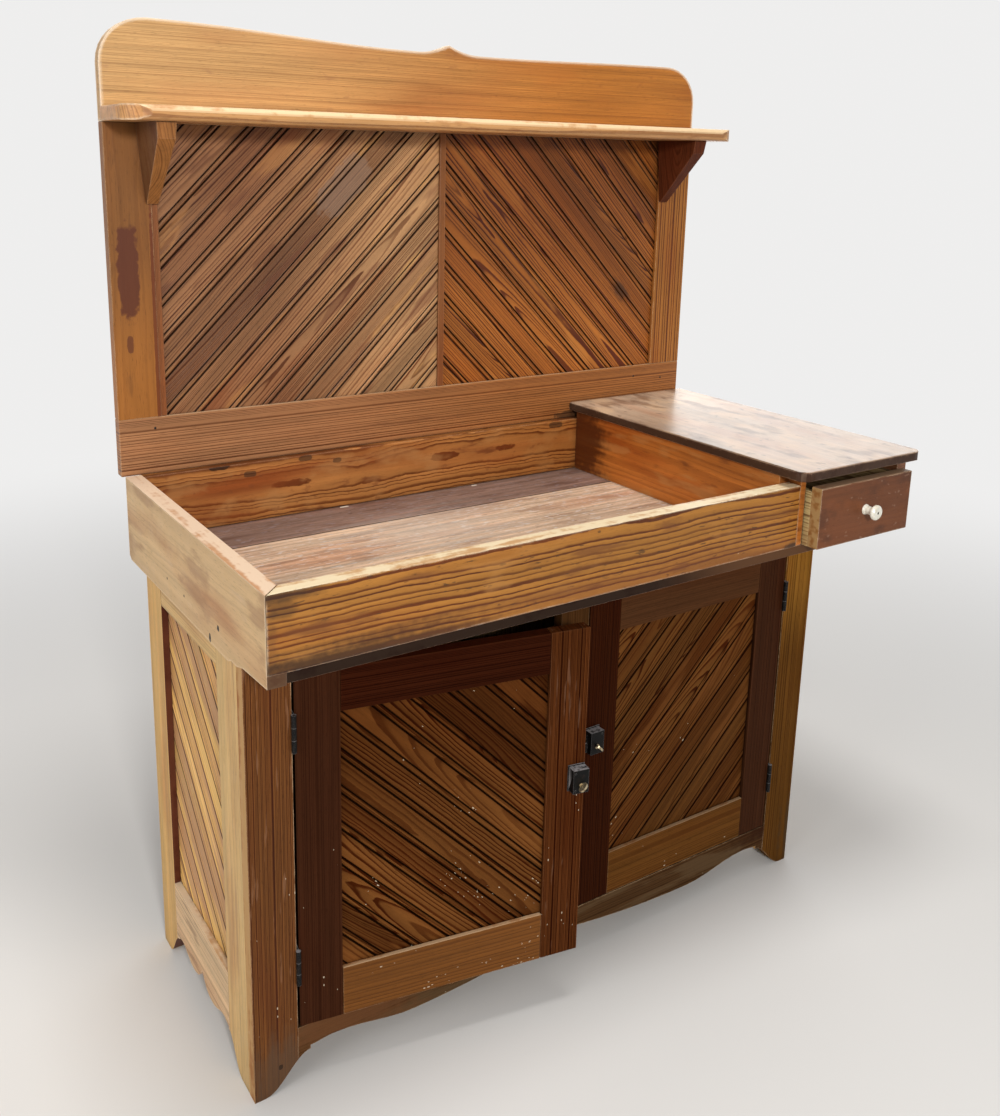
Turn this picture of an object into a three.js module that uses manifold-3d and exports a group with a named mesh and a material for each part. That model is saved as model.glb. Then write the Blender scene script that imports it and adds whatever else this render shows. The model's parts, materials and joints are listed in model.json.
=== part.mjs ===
// A dry sink cabinet in old pine: a two-door base, a tray that overhangs it, a drawer case at the
// tray's right end, and a tall backsplash of slanted beaded boards with a shelf under its crest.
//
// Millimetres, +Z up, +Y towards the back. While it is built, x = 0 is the base's left side, y = 0 the
// front of its doors and z = 0 the floor. The left door stands ajar and the drawer is a little open.
// At the end the group is moved so that the middle of its bounding box's foot is the origin.

import * as THREE from 'three';
import { mergeVertices } from 'three/addons/utils/BufferGeometryUtils.js';
import Module from 'manifold-3d';

const wasm = await Module();
wasm.setup();

// Base cabinet
const baseWidth = 1080;
const baseDepth = 401;
const frameThickness = 20;
const faceStileWidth = 67;
const centreStileWidth = 54;
const faceTopRailHeight = 42;
const doorwayBottom = 94;
const sideFrontStileWidth = 75;
const sideRearStileWidth = 69;
const sideTopRailHeight = 33;
const sideOpeningBottom = 148;
const backBoardsThickness = 12;
const backBoardsBottom = 60;
const baseFloorThickness = 15;

// Scalloped lower edges: distances run from the outer end of the foot towards the middle
const frontSkirt = {
  foot: 16, cusp: 86, cuspHeight: 51, stepHeight: 57, peak: 120, peakHeight: 60,
  low: 260, lowHeight: 40, middleHeight: 64, middlePower: 2,
};
const sideSkirt = {
  foot: 30, cusp: 78, cuspHeight: 50, stepHeight: 54, peak: 97, peakHeight: 58,
  low: 145, lowHeight: 44, middleHeight: 69, middlePower: 3,
};
const skirtSteps = 6;

// Tray
const trayOverhang = 100;
const traySideOverhang = 6;
const trayBoard = 25;
const trayUnderside = 682;
const trayFloorThickness = 15;
const trayDepth = 103;
const trayRightOverhang = 98;
const trayBackReveal = 14;
const traySideDrop = 18;
const traySideStep = 5;
const traySideStepRun = 10;
const traySideTip = 2;
const traySideCurl = 21;
const traySideCurlRise = 6;
const traySideCornerRun = 9;
const traySideCornerRise = 6;

// Drawer case
const dividerInset = 23;
const dividerThickness = 35;
const caseSideThickness = 23;
const drawerSpace = 232;
const caseTopThickness = 16;
const caseHeadroom = 15;
const caseTopFrontLap = 31;
const caseTopLeftLap = 8;
const caseTopRightLap = 4;
const caseTopCorner = 26;
const caseTopNose = 4;

// Drawer
const drawerPlay = 2;
const drawerLift = 0.5;
const drawerFrontHeight = 102;
const drawerFrontThickness = 20;
const drawerSideThickness = 12;
const drawerSideDrop = 9;
const drawerLength = 500;
const drawerBottomThickness = 8;
const drawerBottomLift = 7;
const drawerOut = 31;
const knobRadius = 13;
const knobLength = 25;
const knobHeadShare = 0.36;
const knobScrewHole = 2.2;
const knobBaseShare = 0.7;
const knobNeckShare = 0.54;
const knobSides = 20;

// Backsplash
const splashBehindBase = 68;
const splashThickness = 20;
const splashSideLap = 6;
const splashRightInset = 11;
const splashRailHeight = 92;
const splashStileLeftWidth = 68;
const splashStripWidth = 10;
const splashStripSetback = 2;
const splashStileRightWidth = 78;
const splashMiddleStripWidth = 12;
const splashPanelHeight = 453;
const crestLeftHeight = 150;
const crestRightHeight = 141;
const crestCornerWidth = 73;
const crestCornerHeight = 66;
const crestDipHeight = 133;
const crestDipFromPeak = 62;
const crestPeakAboveDip = 14;
const crestPeakShare = 0.507;
const crestSteps = 8;

// Shelf and its brackets
const shelfDepth = 124;
const shelfThickness = 22;
const shelfLeftLap = 2;
const shelfRightLap = 5;
const shelfCorner = 40;
const shelfNose = 9;
const shelfEndNose = 4;
const bracketThickness = 19;
const bracketDepth = 106;
const bracketHeight = 120;
const bracketToe = 4;
const bracketNoseHeight = 24;
const bracketNoseSetback = 6;
const bracketFlare = 11;

// Slanted beaded boards
const panelThickness = 12;
const panelRecess = 7;
const sidePanelRecess = 10;
const panelLap = 9;
const splashBoardPitch = 41.2;
const doorBoardPitch = 39.7;
const sideBoardPitch = 35.4;
const beadWidth = 6.5;
const beadDrop = 1.2;
const beadGroove = 2.6;
const beadGrooveDepth = 2.8;
const splashLeftPhaseShare = 1;
const splashRightPhaseShare = 0.14;
const sidePhaseShare = 0.5;
const leftDoorPhaseShare = 0.33;
const rightDoorPhaseShare = 0.52;

// Doors and their hinges
const doorStileWidth = 63;
const doorTopRail = 64;
const doorBottomRail = 78;
const hingeGap = 3;
const latchGap = 1.5;
const doorPlay = 1.5;
const leftDoorAngle = 10.2;
const hingeAxisOut = 3.6;
const hingeHeight = 55;
const hingeFromTop = 83;
const hingeFromBottom = 100;
const hingeLeaf = 1.1;
const hingeLeafWidth = 16;
const knuckleRadius = 3.5;
const knuckleMiddle = 18;
const hingePinRadius = 1.6;
const hingeBoreRadius = 2;
const knuckleSides = 14;

// Catches
const catchHeight = 399;
const catchWidth = 26;
const catchTall = 38;
const catchDepth = 16;
const catchWall = 2.5;
const catchEdge = 0.5;
const catchFlange = 1.5;
const catchFlangeLap = 2;
const spindleBelowMiddle = 6;
const spindleFromEdge = 12.5;
const spindleRadius = 2;
const tongueLength = 20;
const tongueWidth = 6;
const tongueThickness = 3;
const tongueFromDoor = 4.8;
const thumbLength = 16;
const thumbReach = 11;
const thumbThickness = 3.4;
const thumbCollar = 1;
const thumbSides = 16;
const keeperHeight = 16;
const keeperBase = 2;
const keeperLip = 2.4;
const keeperWeb = 8;
const keeperPlay = 1;
const keeperWidth = 50;
const keeperBaseWidth = 52;

// Shared allowances
const seam = 0.3;
const runningClearance = 0.4;
const overrun = 5;
const weld = 0.0001;

// Places worked out from the sizes above
const doorwayTop = trayUnderside - faceTopRailHeight;
const doorwayWidth = (baseWidth - 2 * faceStileWidth - centreStileWidth) / 2;
const doorReach = doorwayWidth - hingeGap / 2 - latchGap;
const centreStileLeft = faceStileWidth + doorwayWidth;
const centreStileRight = centreStileLeft + centreStileWidth;
const traySideOuter = -traySideOverhang;
const traySideInner = traySideOuter + trayBoard;
const traySideSeat = trayUnderside - traySideDrop;
const traySideStepTop = traySideSeat + traySideStep;
const trayFrontInner = trayBoard - trayOverhang;
const trayFloorTop = trayUnderside + trayFloorThickness;
const trayRim = trayFloorTop + trayDepth;
const caseSideRight = baseWidth + trayRightOverhang;
const caseSideLeft = caseSideRight - caseSideThickness;
const dividerRight = caseSideLeft - drawerSpace;
const dividerLeft = dividerRight - dividerThickness;
const trayFrontRight = dividerLeft + dividerInset;
const caseTopUnderside = trayRim + caseHeadroom;
const splashFront = baseDepth + splashBehindBase;
const splashBack = splashFront + splashThickness;
const trayBackFront = splashFront - trayBackReveal;
const trayBackRear = trayBackFront + trayBoard;
const splashLeft = traySideOuter - splashSideLap;
const splashRight = caseSideRight - splashRightInset;
const splashRailTop = trayRim + splashRailHeight;
const splashOpeningLeft = splashLeft + splashStileLeftWidth + splashStripWidth;
const splashOpeningRight = splashRight - splashStileRightWidth;
const splashMiddleStripLeft = (splashOpeningLeft + splashOpeningRight - splashMiddleStripWidth) / 2;
const splashMiddleStripRight = splashMiddleStripLeft + splashMiddleStripWidth;
const crestBottom = splashRailTop + splashPanelHeight;
const crestLeftTop = crestBottom + crestLeftHeight;
const crestRightTop = crestBottom + crestRightHeight;
const crestDip = crestBottom + crestDipHeight;
const shelfFront = splashFront - shelfDepth;

// Finishes: colour, roughness and metalness
const finishes = {
  amberPine: [0xa8642c, 0.55, 0],
  palePine: [0xb98a55, 0.65, 0],
  redPine: [0x7a3f20, 0.55, 0],
  darkPine: [0x54281a, 0.5, 0],
  crestPine: [0xb06a34, 0.55, 0],
  weatheredPine: [0x7d6450, 0.75, 0],
  rawPine: [0xb59a6a, 0.8, 0],
  backPine: [0x8a6842, 0.85, 0],
  blackIron: [0x1c1a1a, 0.6, 0.7],
  brass: [0xb09050, 0.4, 0.9],
  whiteCeramic: [0xe9e2cf, 0.2, 0],
};

const cabinet = new THREE.Group();

function add(name, geometry, finish, parent = cabinet) {
  const [color, roughness, metalness] = finishes[finish];
  geometry.computeVertexNormals();
  const mesh = new THREE.Mesh(geometry, new THREE.MeshStandardMaterial({ color, roughness, metalness }));
  mesh.name = name;
  parent.add(mesh);
  return mesh;
}

// Shapes. Corners and outline points keep the numbers given, so that two pieces that share a plane
// share it exactly.

const point = (a, b) => new THREE.Vector2(a, b);
const span = (a, b) => [Math.min(a, b), Math.max(a, b)];
const middle = ([low, high]) => (low + high) / 2;
const grown = ([low, high], by) => [low - by, high + by];

function block(x, y, z) {
  const geometry = new THREE.BoxGeometry(1, 1, 1);
  const corners = geometry.attributes.position;
  for (let i = 0; i < corners.count; i += 1) {
    const pick = (value, range) => (value < 0 ? range[0] : range[1]);
    corners.setXYZ(i, pick(corners.getX(i), x), pick(corners.getY(i), y), pick(corners.getZ(i), z));
  }
  return geometry;
}

// How an outline's two directions and its run lie: along x the outline is in (y, z), along y it is in
// (x, z) and along z it is in (x, y).
const lay = {
  x: new THREE.Matrix4().set(0, 0, 1, 0, 1, 0, 0, 0, 0, 1, 0, 0, 0, 0, 0, 1),
  y: new THREE.Matrix4().set(1, 0, 0, 0, 0, 0, -1, 0, 0, 1, 0, 0, 0, 0, 0, 1),
  z: new THREE.Matrix4(),
};

function prism(axis, outline, [low, high]) {
  const geometry = new THREE.ExtrudeGeometry(new THREE.Shape(outline), { depth: 1, bevelEnabled: false });
  const [start, end] = axis === 'y' ? [-high, -low] : [low, high];
  const corners = geometry.attributes.position;
  for (let i = 0; i < corners.count; i += 1) {
    corners.setZ(i, corners.getZ(i) > 0 ? end : start);
  }
  return geometry.applyMatrix4(lay[axis]);
}

function arc(centre, radiusA, radiusB, from, to, steps) {
  const points = [];
  for (let i = 0; i <= steps; i += 1) {
    const angle = from + (to - from) * (i / steps);
    points.push(point(centre.x + radiusA * Math.cos(angle), centre.y + radiusB * Math.sin(angle)));
  }
  return points;
}

const circle = (centre, radius, sides) => arc(centre, radius, radius, 0, 2 * Math.PI, sides).slice(0, sides);

function solidOf(geometry) {
  const bare = geometry.clone();
  bare.deleteAttribute('normal');
  bare.deleteAttribute('uv');
  const welded = mergeVertices(bare, weld);
  return new wasm.Manifold(new wasm.Mesh({
    numProp: 3,
    vertProperties: new Float32Array(welded.attributes.position.array),
    triVerts: new Uint32Array(welded.index.array),
  }));
}

function geometryOf(solid) {
  const { vertProperties, triVerts } = solid.getMesh();
  const geometry = new THREE.BufferGeometry();
  geometry.setAttribute('position', new THREE.BufferAttribute(new Float32Array(vertProperties), 3));
  geometry.setIndex(new THREE.BufferAttribute(new Uint32Array(triVerts), 1));
  return geometry;
}

const combine = (method) => (first, ...others) => geometryOf(
  others.reduce((solid, other) => solid[method](solidOf(other)), solidOf(first)),
);
const cut = combine('subtract');
const join = combine('add');
const common = combine('intersect');

// Scalloped lower edges of the face and the sides

const ogee = (from, to, share) => from + (to - from) * (1 - Math.cos(Math.PI * share)) / 2;

function skirtStretches(skirt, half) {
  const climb = skirt.middleHeight - skirt.lowHeight;
  return [
    { from: 0, to: skirt.foot, steps: 1, height: () => 0 },
    { from: skirt.foot, to: skirt.cusp, height: (share) => ogee(0, skirt.cuspHeight, share) },
    { from: skirt.cusp, to: skirt.peak, height: (share) => ogee(skirt.stepHeight, skirt.peakHeight, share) },
    { from: skirt.peak, to: skirt.low, height: (share) => ogee(skirt.peakHeight, skirt.lowHeight, share) },
    { from: skirt.low, to: half, height: (share) => skirt.lowHeight + climb * share ** skirt.middlePower },
  ];
}

// Points of the lower edge between two distances from the foot's outer end, in the near half.
function skirtPoints([near, far], half, skirt) {
  const points = [];
  for (const { from, to, steps = skirtSteps, height } of skirtStretches(skirt, half)) {
    const start = Math.max(near, from);
    const end = Math.min(far, to);
    for (let i = 0; i <= steps && end > start; i += 1) {
      const distance = start + (end - start) * (i / steps);
      const next = point(distance, height((distance - from) / (to - from)));
      if (!points.length || points.at(-1).distanceTo(next) > weld) points.push(next);
    }
  }
  return points;
}

const place = (points, origin, direction) => points.map(({ x, y }) => point(origin + direction * x, y));

// A rail whose lower edge is scalloped, between two stiles of a frame that is length wide.
function skirtRail(origin, length, [nearStile, farStile], top, skirt) {
  const near = skirtPoints([nearStile, length / 2], length / 2, skirt);
  const far = skirtPoints([farStile, length / 2], length / 2, skirt).slice(0, -1).reverse();
  return [
    ...place(near, origin, 1),
    ...place(far, origin + length, -1),
    point(origin + length - farStile, top),
    point(origin + nearStile, top),
  ];
}

// Slanted beaded boards, made as one sheet. lean 1 rises to the right and -1 rises to the left; one
// bead lies phase of a pitch past the sheet's lowest line.

function beadOutline([start, end], phase, pitch, front, thickness) {
  const halfBead = beadWidth / 2;
  const points = [point(start, front + thickness), point(start, front)];
  for (let line = start + phase * pitch; line < end - pitch / 2; line += pitch) {
    points.push(
      point(line - halfBead - beadGroove, front),
      point(line - halfBead - beadGroove / 2, front + beadGrooveDepth),
      point(line - halfBead, front + beadDrop),
      point(line - halfBead / 2, front),
      point(line + halfBead / 2, front),
      point(line + halfBead, front + beadDrop),
      point(line + halfBead + beadGroove / 2, front + beadGrooveDepth),
      point(line + halfBead + beadGroove, front),
    );
  }
  return [...points, point(end, front), point(end, front + thickness)];
}

function beadedSheet(x, z, front, lean, phase, pitch) {
  const half = Math.SQRT1_2;
  const across = new THREE.Vector3(half, 0, -lean * half);
  const along = new THREE.Vector3(lean * half, 0, half);
  const corners = x.flatMap((a) => z.map((b) => new THREE.Vector3(a, 0, b)));
  const reach = (direction) => {
    const distances = corners.map((corner) => corner.dot(direction));
    return [Math.min(...distances) - pitch, Math.max(...distances) + pitch];
  };
  const outline = beadOutline(reach(across), phase, pitch, front, panelThickness);
  const turned = new THREE.Matrix4().makeBasis(across, new THREE.Vector3(0, 1, 0), along);
  const [low, high] = reach(along);
  const boards = geometryOf(wasm.Manifold.extrude([outline.map((at) => [at.x, at.y])], high - low))
    .translate(0, 0, low).applyMatrix4(turned);
  return common(boards, block(x, [front - overrun, front + panelThickness + overrun], z));
}

// A frame of flat pieces round a beaded panel that lies in a rabbet at their back. opening is [x, z].

const rabbet = ([x, z], front, ...pieces) => {
  const back = [front + panelRecess, front + frameThickness + overrun];
  const seat = block(grown(x, panelLap), back, grown(z, panelLap));
  return pieces.map((piece) => cut(piece, seat));
};

function framePanel([x, z], front, lean, phase, pitch) {
  const size = panelLap - seam;
  return beadedSheet(grown(x, size), grown(z, size), front + seam, lean, phase, pitch);
}

// Base cabinet: face frame, side frames, floor and back

function faceFrame() {
  const deep = [0, frameThickness];
  const half = baseWidth / 2;
  const foot = skirtPoints([0, faceStileWidth], half, frontSkirt);
  const leftOutline = [
    ...foot, point(faceStileWidth, trayUnderside), point(traySideInner, trayUnderside),
    point(traySideInner, traySideStepTop), point(0, traySideStepTop),
  ];
  const rightOutline = [
    ...place(foot, baseWidth, -1),
    point(baseWidth - faceStileWidth, trayUnderside), point(baseWidth, trayUnderside),
  ];
  const stiles = [faceStileWidth, faceStileWidth];
  add('face_stile_left', prism('y', leftOutline, deep), 'redPine');
  add('face_stile_right', prism('y', rightOutline, deep), 'palePine');
  add('face_stile_centre', block([centreStileLeft, centreStileRight], deep, [doorwayBottom, doorwayTop]),
    'darkPine');
  add('face_top_rail', block([faceStileWidth, baseWidth - faceStileWidth], deep, [doorwayTop, trayUnderside]),
    'darkPine');
  add('face_apron', prism('y', skirtRail(0, baseWidth, stiles, doorwayBottom, frontSkirt), deep), 'amberPine');
}

// One side of the base, in (y, z) outlines extruded along x. The panel's sheet is made facing the
// front and turned to face the side.
function sideFrame(top, steppedTop) {
  const start = frameThickness;
  const length = baseDepth - frameThickness;
  const half = length / 2;
  const opening = [[start + sideFrontStileWidth, baseDepth - sideRearStileWidth],
    [sideOpeningBottom, traySideSeat - sideTopRailHeight]];
  const frontFoot = place(skirtPoints([0, sideFrontStileWidth], half, sideSkirt), start, 1);
  const rearFoot = place(skirtPoints([0, sideRearStileWidth], half, sideSkirt), baseDepth, -1);
  const stiles = [sideFrontStileWidth, sideRearStileWidth];
  const frontTop = steppedTop
    ? [point(opening[0][0], top), point(start + traySideStepRun, top), point(start, traySideStepTop - seam)]
    : [point(opening[0][0], top), point(start, top)];
  const outlines = {
    front_stile: [...frontFoot, ...frontTop],
    rear_stile: [...rearFoot, point(opening[0][1], top), point(baseDepth, top)],
    top_rail: [point(opening[0][0], opening[1][1]), point(opening[0][1], opening[1][1]),
      point(opening[0][1], top), point(opening[0][0], top)],
    apron: skirtRail(start, length, stiles, sideOpeningBottom, sideSkirt),
  };
  return { opening, outlines };
}

// Turns a sheet made in (x, y, z) with its face towards -y, so that its x runs along y and its face
// looks towards -x (hand 1) or +x (hand -1).
function faceSide(geometry, hand, plane) {
  const turn = new THREE.Matrix4().set(0, hand, 0, plane, hand, 0, 0, 0, 0, 0, 1, 0, 0, 0, 0, 1);
  const flipped = geometry.applyMatrix4(turn);
  const corners = flipped.index.array;
  for (let i = 0; i < corners.length; i += 3) {
    [corners[i], corners[i + 1]] = [corners[i + 1], corners[i]];
  }
  return flipped;
}

function sideLeft() {
  const { opening, outlines } = sideFrame(traySideSeat, true);
  const seat = block([sidePanelRecess, frameThickness + overrun], grown(opening[0], panelLap),
    grown(opening[1], panelLap));
  for (const [name, outline] of Object.entries(outlines)) {
    const piece = prism('x', outline, [0, frameThickness]);
    add(`side_left_${name}`, cut(piece, seat), 'palePine');
  }
  const panel = framePanel(opening, sidePanelRecess, 1, sidePhaseShare, sideBoardPitch);
  add('side_left_panel', faceSide(panel, 1, 0), 'palePine');
}

// The right side mirrors the left one, joined in one piece. On both, the boards rise to the back.
function sideRight() {
  const { opening, outlines } = sideFrame(trayUnderside, false);
  const wide = [baseWidth - frameThickness, baseWidth];
  const pieces = Object.values(outlines).map((outline) => prism('x', outline, wide));
  const sheetX = opening[0].map((y) => -y).reverse();
  const sheet = beadedSheet(sheetX, opening[1], 0, -1, sidePhaseShare, sideBoardPitch);
  const panel = faceSide(sheet, -1, baseWidth - sidePanelRecess);
  add('side_right', join(...pieces, panel), 'palePine');
}

function baseInside() {
  const inside = [frameThickness, baseWidth - frameThickness];
  const back = [baseDepth - backBoardsThickness, baseDepth];
  add('back_boards', block(inside, back, [backBoardsBottom, trayUnderside]), 'backPine');
  add('base_floor', block(inside, [frameThickness, back[0]], [doorwayBottom - baseFloorThickness, doorwayBottom]),
    'backPine');
}

// Tray

function traySide() {
  const front = -trayOverhang;
  const outline = [
    point(front, trayUnderside - traySideTip), point(-traySideCurl, traySideStepTop + traySideCurlRise),
    point(0, traySideStepTop), point(frameThickness, traySideStepTop),
    point(frameThickness + traySideStepRun, traySideSeat), point(splashFront - traySideCornerRun, traySideSeat),
    point(splashFront, traySideSeat + traySideCornerRise), point(splashFront, trayRim), point(front, trayRim),
  ];
  const board = prism('x', outline, [traySideOuter, traySideInner]);
  const mitre = [
    point(traySideOuter - overrun, front - overrun), point(traySideInner + overrun, front - overrun),
    point(traySideInner + overrun, trayFrontInner + overrun + seam),
  ];
  const corner = prism('z', mitre, [trayFloorTop, trayRim + overrun]);
  add('tray_side_board', cut(board, corner), 'palePine');
}

function tray() {
  const front = -trayOverhang;
  const frontOutline = [
    point(traySideOuter + seam, front), point(trayFrontRight, front), point(trayFrontRight, trayFrontInner),
    point(traySideInner + seam, trayFrontInner),
  ];
  const dividerOutline = [
    point(dividerLeft, trayFrontInner), point(trayFrontRight, trayFrontInner), point(trayFrontRight, front),
    point(dividerRight, front), point(dividerRight, trayBackFront), point(dividerLeft, trayBackFront),
  ];
  traySide();
  add('tray_front_board', prism('z', frontOutline, [trayFloorTop, trayRim]), 'amberPine');
  add('tray_back_board', block([traySideInner, caseSideLeft], [trayBackFront, trayBackRear],
    [trayFloorTop, trayRim]), 'amberPine');
  add('tray_floor', block([traySideInner, caseSideRight], [front, trayBackRear],
    [trayUnderside, trayFloorTop]), 'weatheredPine');
  add('tray_divider', prism('z', dividerOutline, [trayFloorTop, caseTopUnderside]), 'amberPine');
  add('case_side', block([caseSideLeft, caseSideRight], [front, splashFront],
    [trayFloorTop, caseTopUnderside]), 'darkPine');
}

// A board whose front and ends are rounded over, with round front corners seen from above.
function nosedBoard(x, y, z, nose, corner, endNose = nose) {
  const quarter = Math.PI / 2;
  const steps = 5;
  const plan = [
    point(x[1], y[1]), point(x[0], y[1]),
    ...arc(point(x[0] + corner, y[0] + corner), corner, corner, 2 * quarter, 3 * quarter, steps),
    ...arc(point(x[1] - corner, y[0] + corner), corner, corner, 3 * quarter, 4 * quarter, steps),
  ];
  const end = [
    ...arc(point(x[0] + endNose, z[0] + endNose), endNose, endNose, 2 * quarter, 3 * quarter, steps),
    ...arc(point(x[1] - endNose, z[0] + endNose), endNose, endNose, 3 * quarter, 4 * quarter, steps),
    ...arc(point(x[1] - endNose, z[1] - endNose), endNose, endNose, 0, quarter, steps),
    ...arc(point(x[0] + endNose, z[1] - endNose), endNose, endNose, quarter, 2 * quarter, steps),
  ];
  const side = [
    ...arc(point(y[0] + nose, z[0] + nose), nose, nose, 2 * quarter, 3 * quarter, steps),
    point(y[1], z[0]), point(y[1], z[1]),
    ...arc(point(y[0] + nose, z[1] - nose), nose, nose, quarter, 2 * quarter, steps),
  ];
  return common(prism('z', plan, z), prism('y', end, y), prism('x', side, x));
}

function drawerCaseTop() {
  const x = [dividerLeft - caseTopLeftLap, caseSideRight + caseTopRightLap];
  const y = [-trayOverhang - caseTopFrontLap, splashFront];
  const z = [caseTopUnderside, caseTopUnderside + caseTopThickness];
  add('case_top', nosedBoard(x, y, z, caseTopNose, caseTopCorner), 'darkPine');
}

// Drawer, in a group that slides along y

function knobProfile(seatY) {
  const base = knobRadius * knobBaseShare;
  const neck = knobRadius * knobNeckShare;
  const front = seatY - knobLength;
  const quarter = Math.PI / 2;
  const head = knobLength * knobHeadShare;
  return [
    point(0, front + head), point(knobScrewHole, front + head), point(knobScrewHole, front),
    ...arc(point(knobRadius - head / 2, front + head / 2), head / 2, head / 2, -quarter, quarter, 6),
    point(neck, front + head + head / 2), point(neck, seatY - head / 2),
    point(base, seatY), point(0, seatY),
  ];
}

function drawer() {
  const group = new THREE.Group();
  group.position.y = -drawerOut;
  cabinet.add(group);
  const x = [dividerRight + drawerPlay, caseSideLeft - drawerPlay];
  const frontY = -trayOverhang;
  const bodyY = [frontY + drawerFrontThickness, frontY + drawerLength];
  const bottom = trayFloorTop + drawerLift;
  const top = bottom + drawerFrontHeight;
  const sideTop = top - drawerSideDrop;
  const inside = [x[0] + drawerSideThickness, x[1] - drawerSideThickness];
  const backY = [bodyY[1] - drawerSideThickness, bodyY[1]];
  const boardZ = [bottom + drawerBottomLift, bottom + drawerBottomLift + drawerBottomThickness];
  add('drawer_front', block(x, [frontY, bodyY[0]], [bottom, top]), 'redPine', group);
  add('drawer_side_left', block([x[0], inside[0]], bodyY, [bottom, sideTop]), 'rawPine', group);
  add('drawer_side_right', block([inside[1], x[1]], bodyY, [bottom, sideTop]), 'rawPine', group);
  add('drawer_back', block(inside, backY, [boardZ[1], sideTop]), 'rawPine', group);
  add('drawer_bottom', block(inside, bodyY, boardZ), 'rawPine', group);
  const knob = new THREE.LatheGeometry(knobProfile(0), knobSides);
  add('drawer_knob', knob, 'whiteCeramic', group).position.set(middle(x), frontY, (bottom + top) / 2);
}

// Backsplash

function crestOutline() {
  const leftX = splashLeft + crestCornerWidth;
  const rightX = splashRight - crestCornerWidth;
  const peakX = splashLeft + (splashRight - splashLeft) * crestPeakShare;
  const quarter = Math.PI / 2;
  const dip = [leftX, peakX - crestDipFromPeak, peakX + crestDipFromPeak, rightX];
  const peak = crestDip + crestPeakAboveDip;
  const sweep = (fromX, fromZ, toX, toZ) => {
    const points = [];
    for (let i = 1; i < crestSteps; i += 1) {
      points.push(point(fromX + (toX - fromX) * (i / crestSteps), ogee(fromZ, toZ, i / crestSteps)));
    }
    return points;
  };
  const rise = (fromX, fromZ, toX, toZ) => {
    const points = [];
    for (let i = 0; i < crestSteps; i += 1) {
      const share = i / crestSteps;
      points.push(point(fromX + (toX - fromX) * share, fromZ + (toZ - fromZ) * share ** 2));
    }
    return points;
  };
  return [
    point(splashLeft, crestBottom),
    ...arc(point(leftX, crestLeftTop - crestCornerHeight), crestCornerWidth, crestCornerHeight,
      2 * quarter, quarter, crestSteps),
    ...sweep(dip[0], crestLeftTop, dip[1], crestDip),
    ...rise(dip[1], crestDip, peakX, peak),
    point(peakX, peak),
    ...rise(dip[2], crestDip, peakX, peak).reverse(),
    ...sweep(dip[2], crestDip, dip[3], crestRightTop),
    ...arc(point(rightX, crestRightTop - crestCornerHeight), crestCornerWidth, crestCornerHeight,
      quarter, 0, crestSteps),
    point(splashRight, crestBottom),
  ];
}

function backsplash() {
  const deep = [splashFront, splashBack];
  const tall = [splashRailTop, crestBottom];
  const leftStile = [splashLeft, splashOpeningLeft - splashStripWidth];
  const strip = [leftStile[1], splashOpeningLeft];
  const middleStrip = [splashMiddleStripLeft, splashMiddleStripRight];
  const openings = {
    left: [[splashOpeningLeft, splashMiddleStripLeft], tall],
    right: [[splashMiddleStripRight, splashOpeningRight], tall],
  };
  const seated = (geometry) => {
    const [inLeft] = rabbet(openings.left, splashFront, geometry);
    const [inBoth] = rabbet(openings.right, splashFront, inLeft);
    return inBoth;
  };
  add('splash_bottom_rail', seated(block([splashLeft, splashRight], deep, [trayRim, splashRailTop])),
    'amberPine');
  add('splash_crest', seated(prism('y', crestOutline(), deep)), 'crestPine');
  add('splash_stile_left', block(leftStile, deep, tall), 'crestPine');
  add('splash_strip_left', seated(block(strip, [splashFront + splashStripSetback, splashBack], tall)),
    'crestPine');
  const rightStile = block([splashOpeningRight, splashRight], deep, tall);
  add('splash_stile_right', seated(rightStile), 'amberPine');
  const thin = [splashFront + splashStripSetback, splashFront + panelRecess];
  add('splash_strip_centre', block(middleStrip, thin, tall), 'redPine');
  const phases = { left: splashLeftPhaseShare, right: splashRightPhaseShare };
  for (const [side, lean] of [['left', 1], ['right', -1]]) {
    const [x, z] = openings[side];
    const inner = middle(middleStrip);
    const wide = side === 'left' ? [x[0] - panelLap + seam, inner] : [inner + seam, x[1] + panelLap - seam];
    const high = grown(z, panelLap - seam);
    const front = splashFront + panelRecess + seam;
    const sheet = beadedSheet(wide, high, front, lean, phases[side], splashBoardPitch);
    add(`splash_panel_${side}`, sheet, 'amberPine');
  }
}

function shelfAndBrackets() {
  const z = [crestBottom, crestBottom + shelfThickness];
  const x = [splashLeft - shelfLeftLap, splashRight + shelfRightLap];
  const y = [shelfFront, splashFront];
  add('shelf', nosedBoard(x, y, z, shelfNose, shelfCorner, shelfEndNose), 'amberPine');
  const nose = splashFront - bracketDepth;
  const low = crestBottom - bracketHeight;
  const outline = [
    point(splashFront, crestBottom), point(nose, crestBottom),
    point(nose + bracketNoseSetback, crestBottom - bracketNoseHeight),
    point(splashFront - bracketToe, low), point(splashFront, low),
  ];
  const leftInner = splashOpeningLeft;
  const places = { left: [leftInner - bracketThickness, leftInner],
    right: [splashOpeningRight, splashOpeningRight + bracketThickness] };
  for (const [side, [from, to]] of Object.entries(places)) {
    const flared = from - bracketFlare;
    const face = [point(from, low), point(to, low), point(to, crestBottom), point(flared, crestBottom)];
    const bracket = common(prism('x', outline, [flared, to]), prism('y', face, [nose, splashFront]));
    add(`shelf_bracket_${side}`, bracket, side === 'left' ? 'amberPine' : 'darkPine');
  }
}

// Doors. In a door's group the hinge's axis is at x = 0, y = 0, and the door reaches along x times hand.

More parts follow.
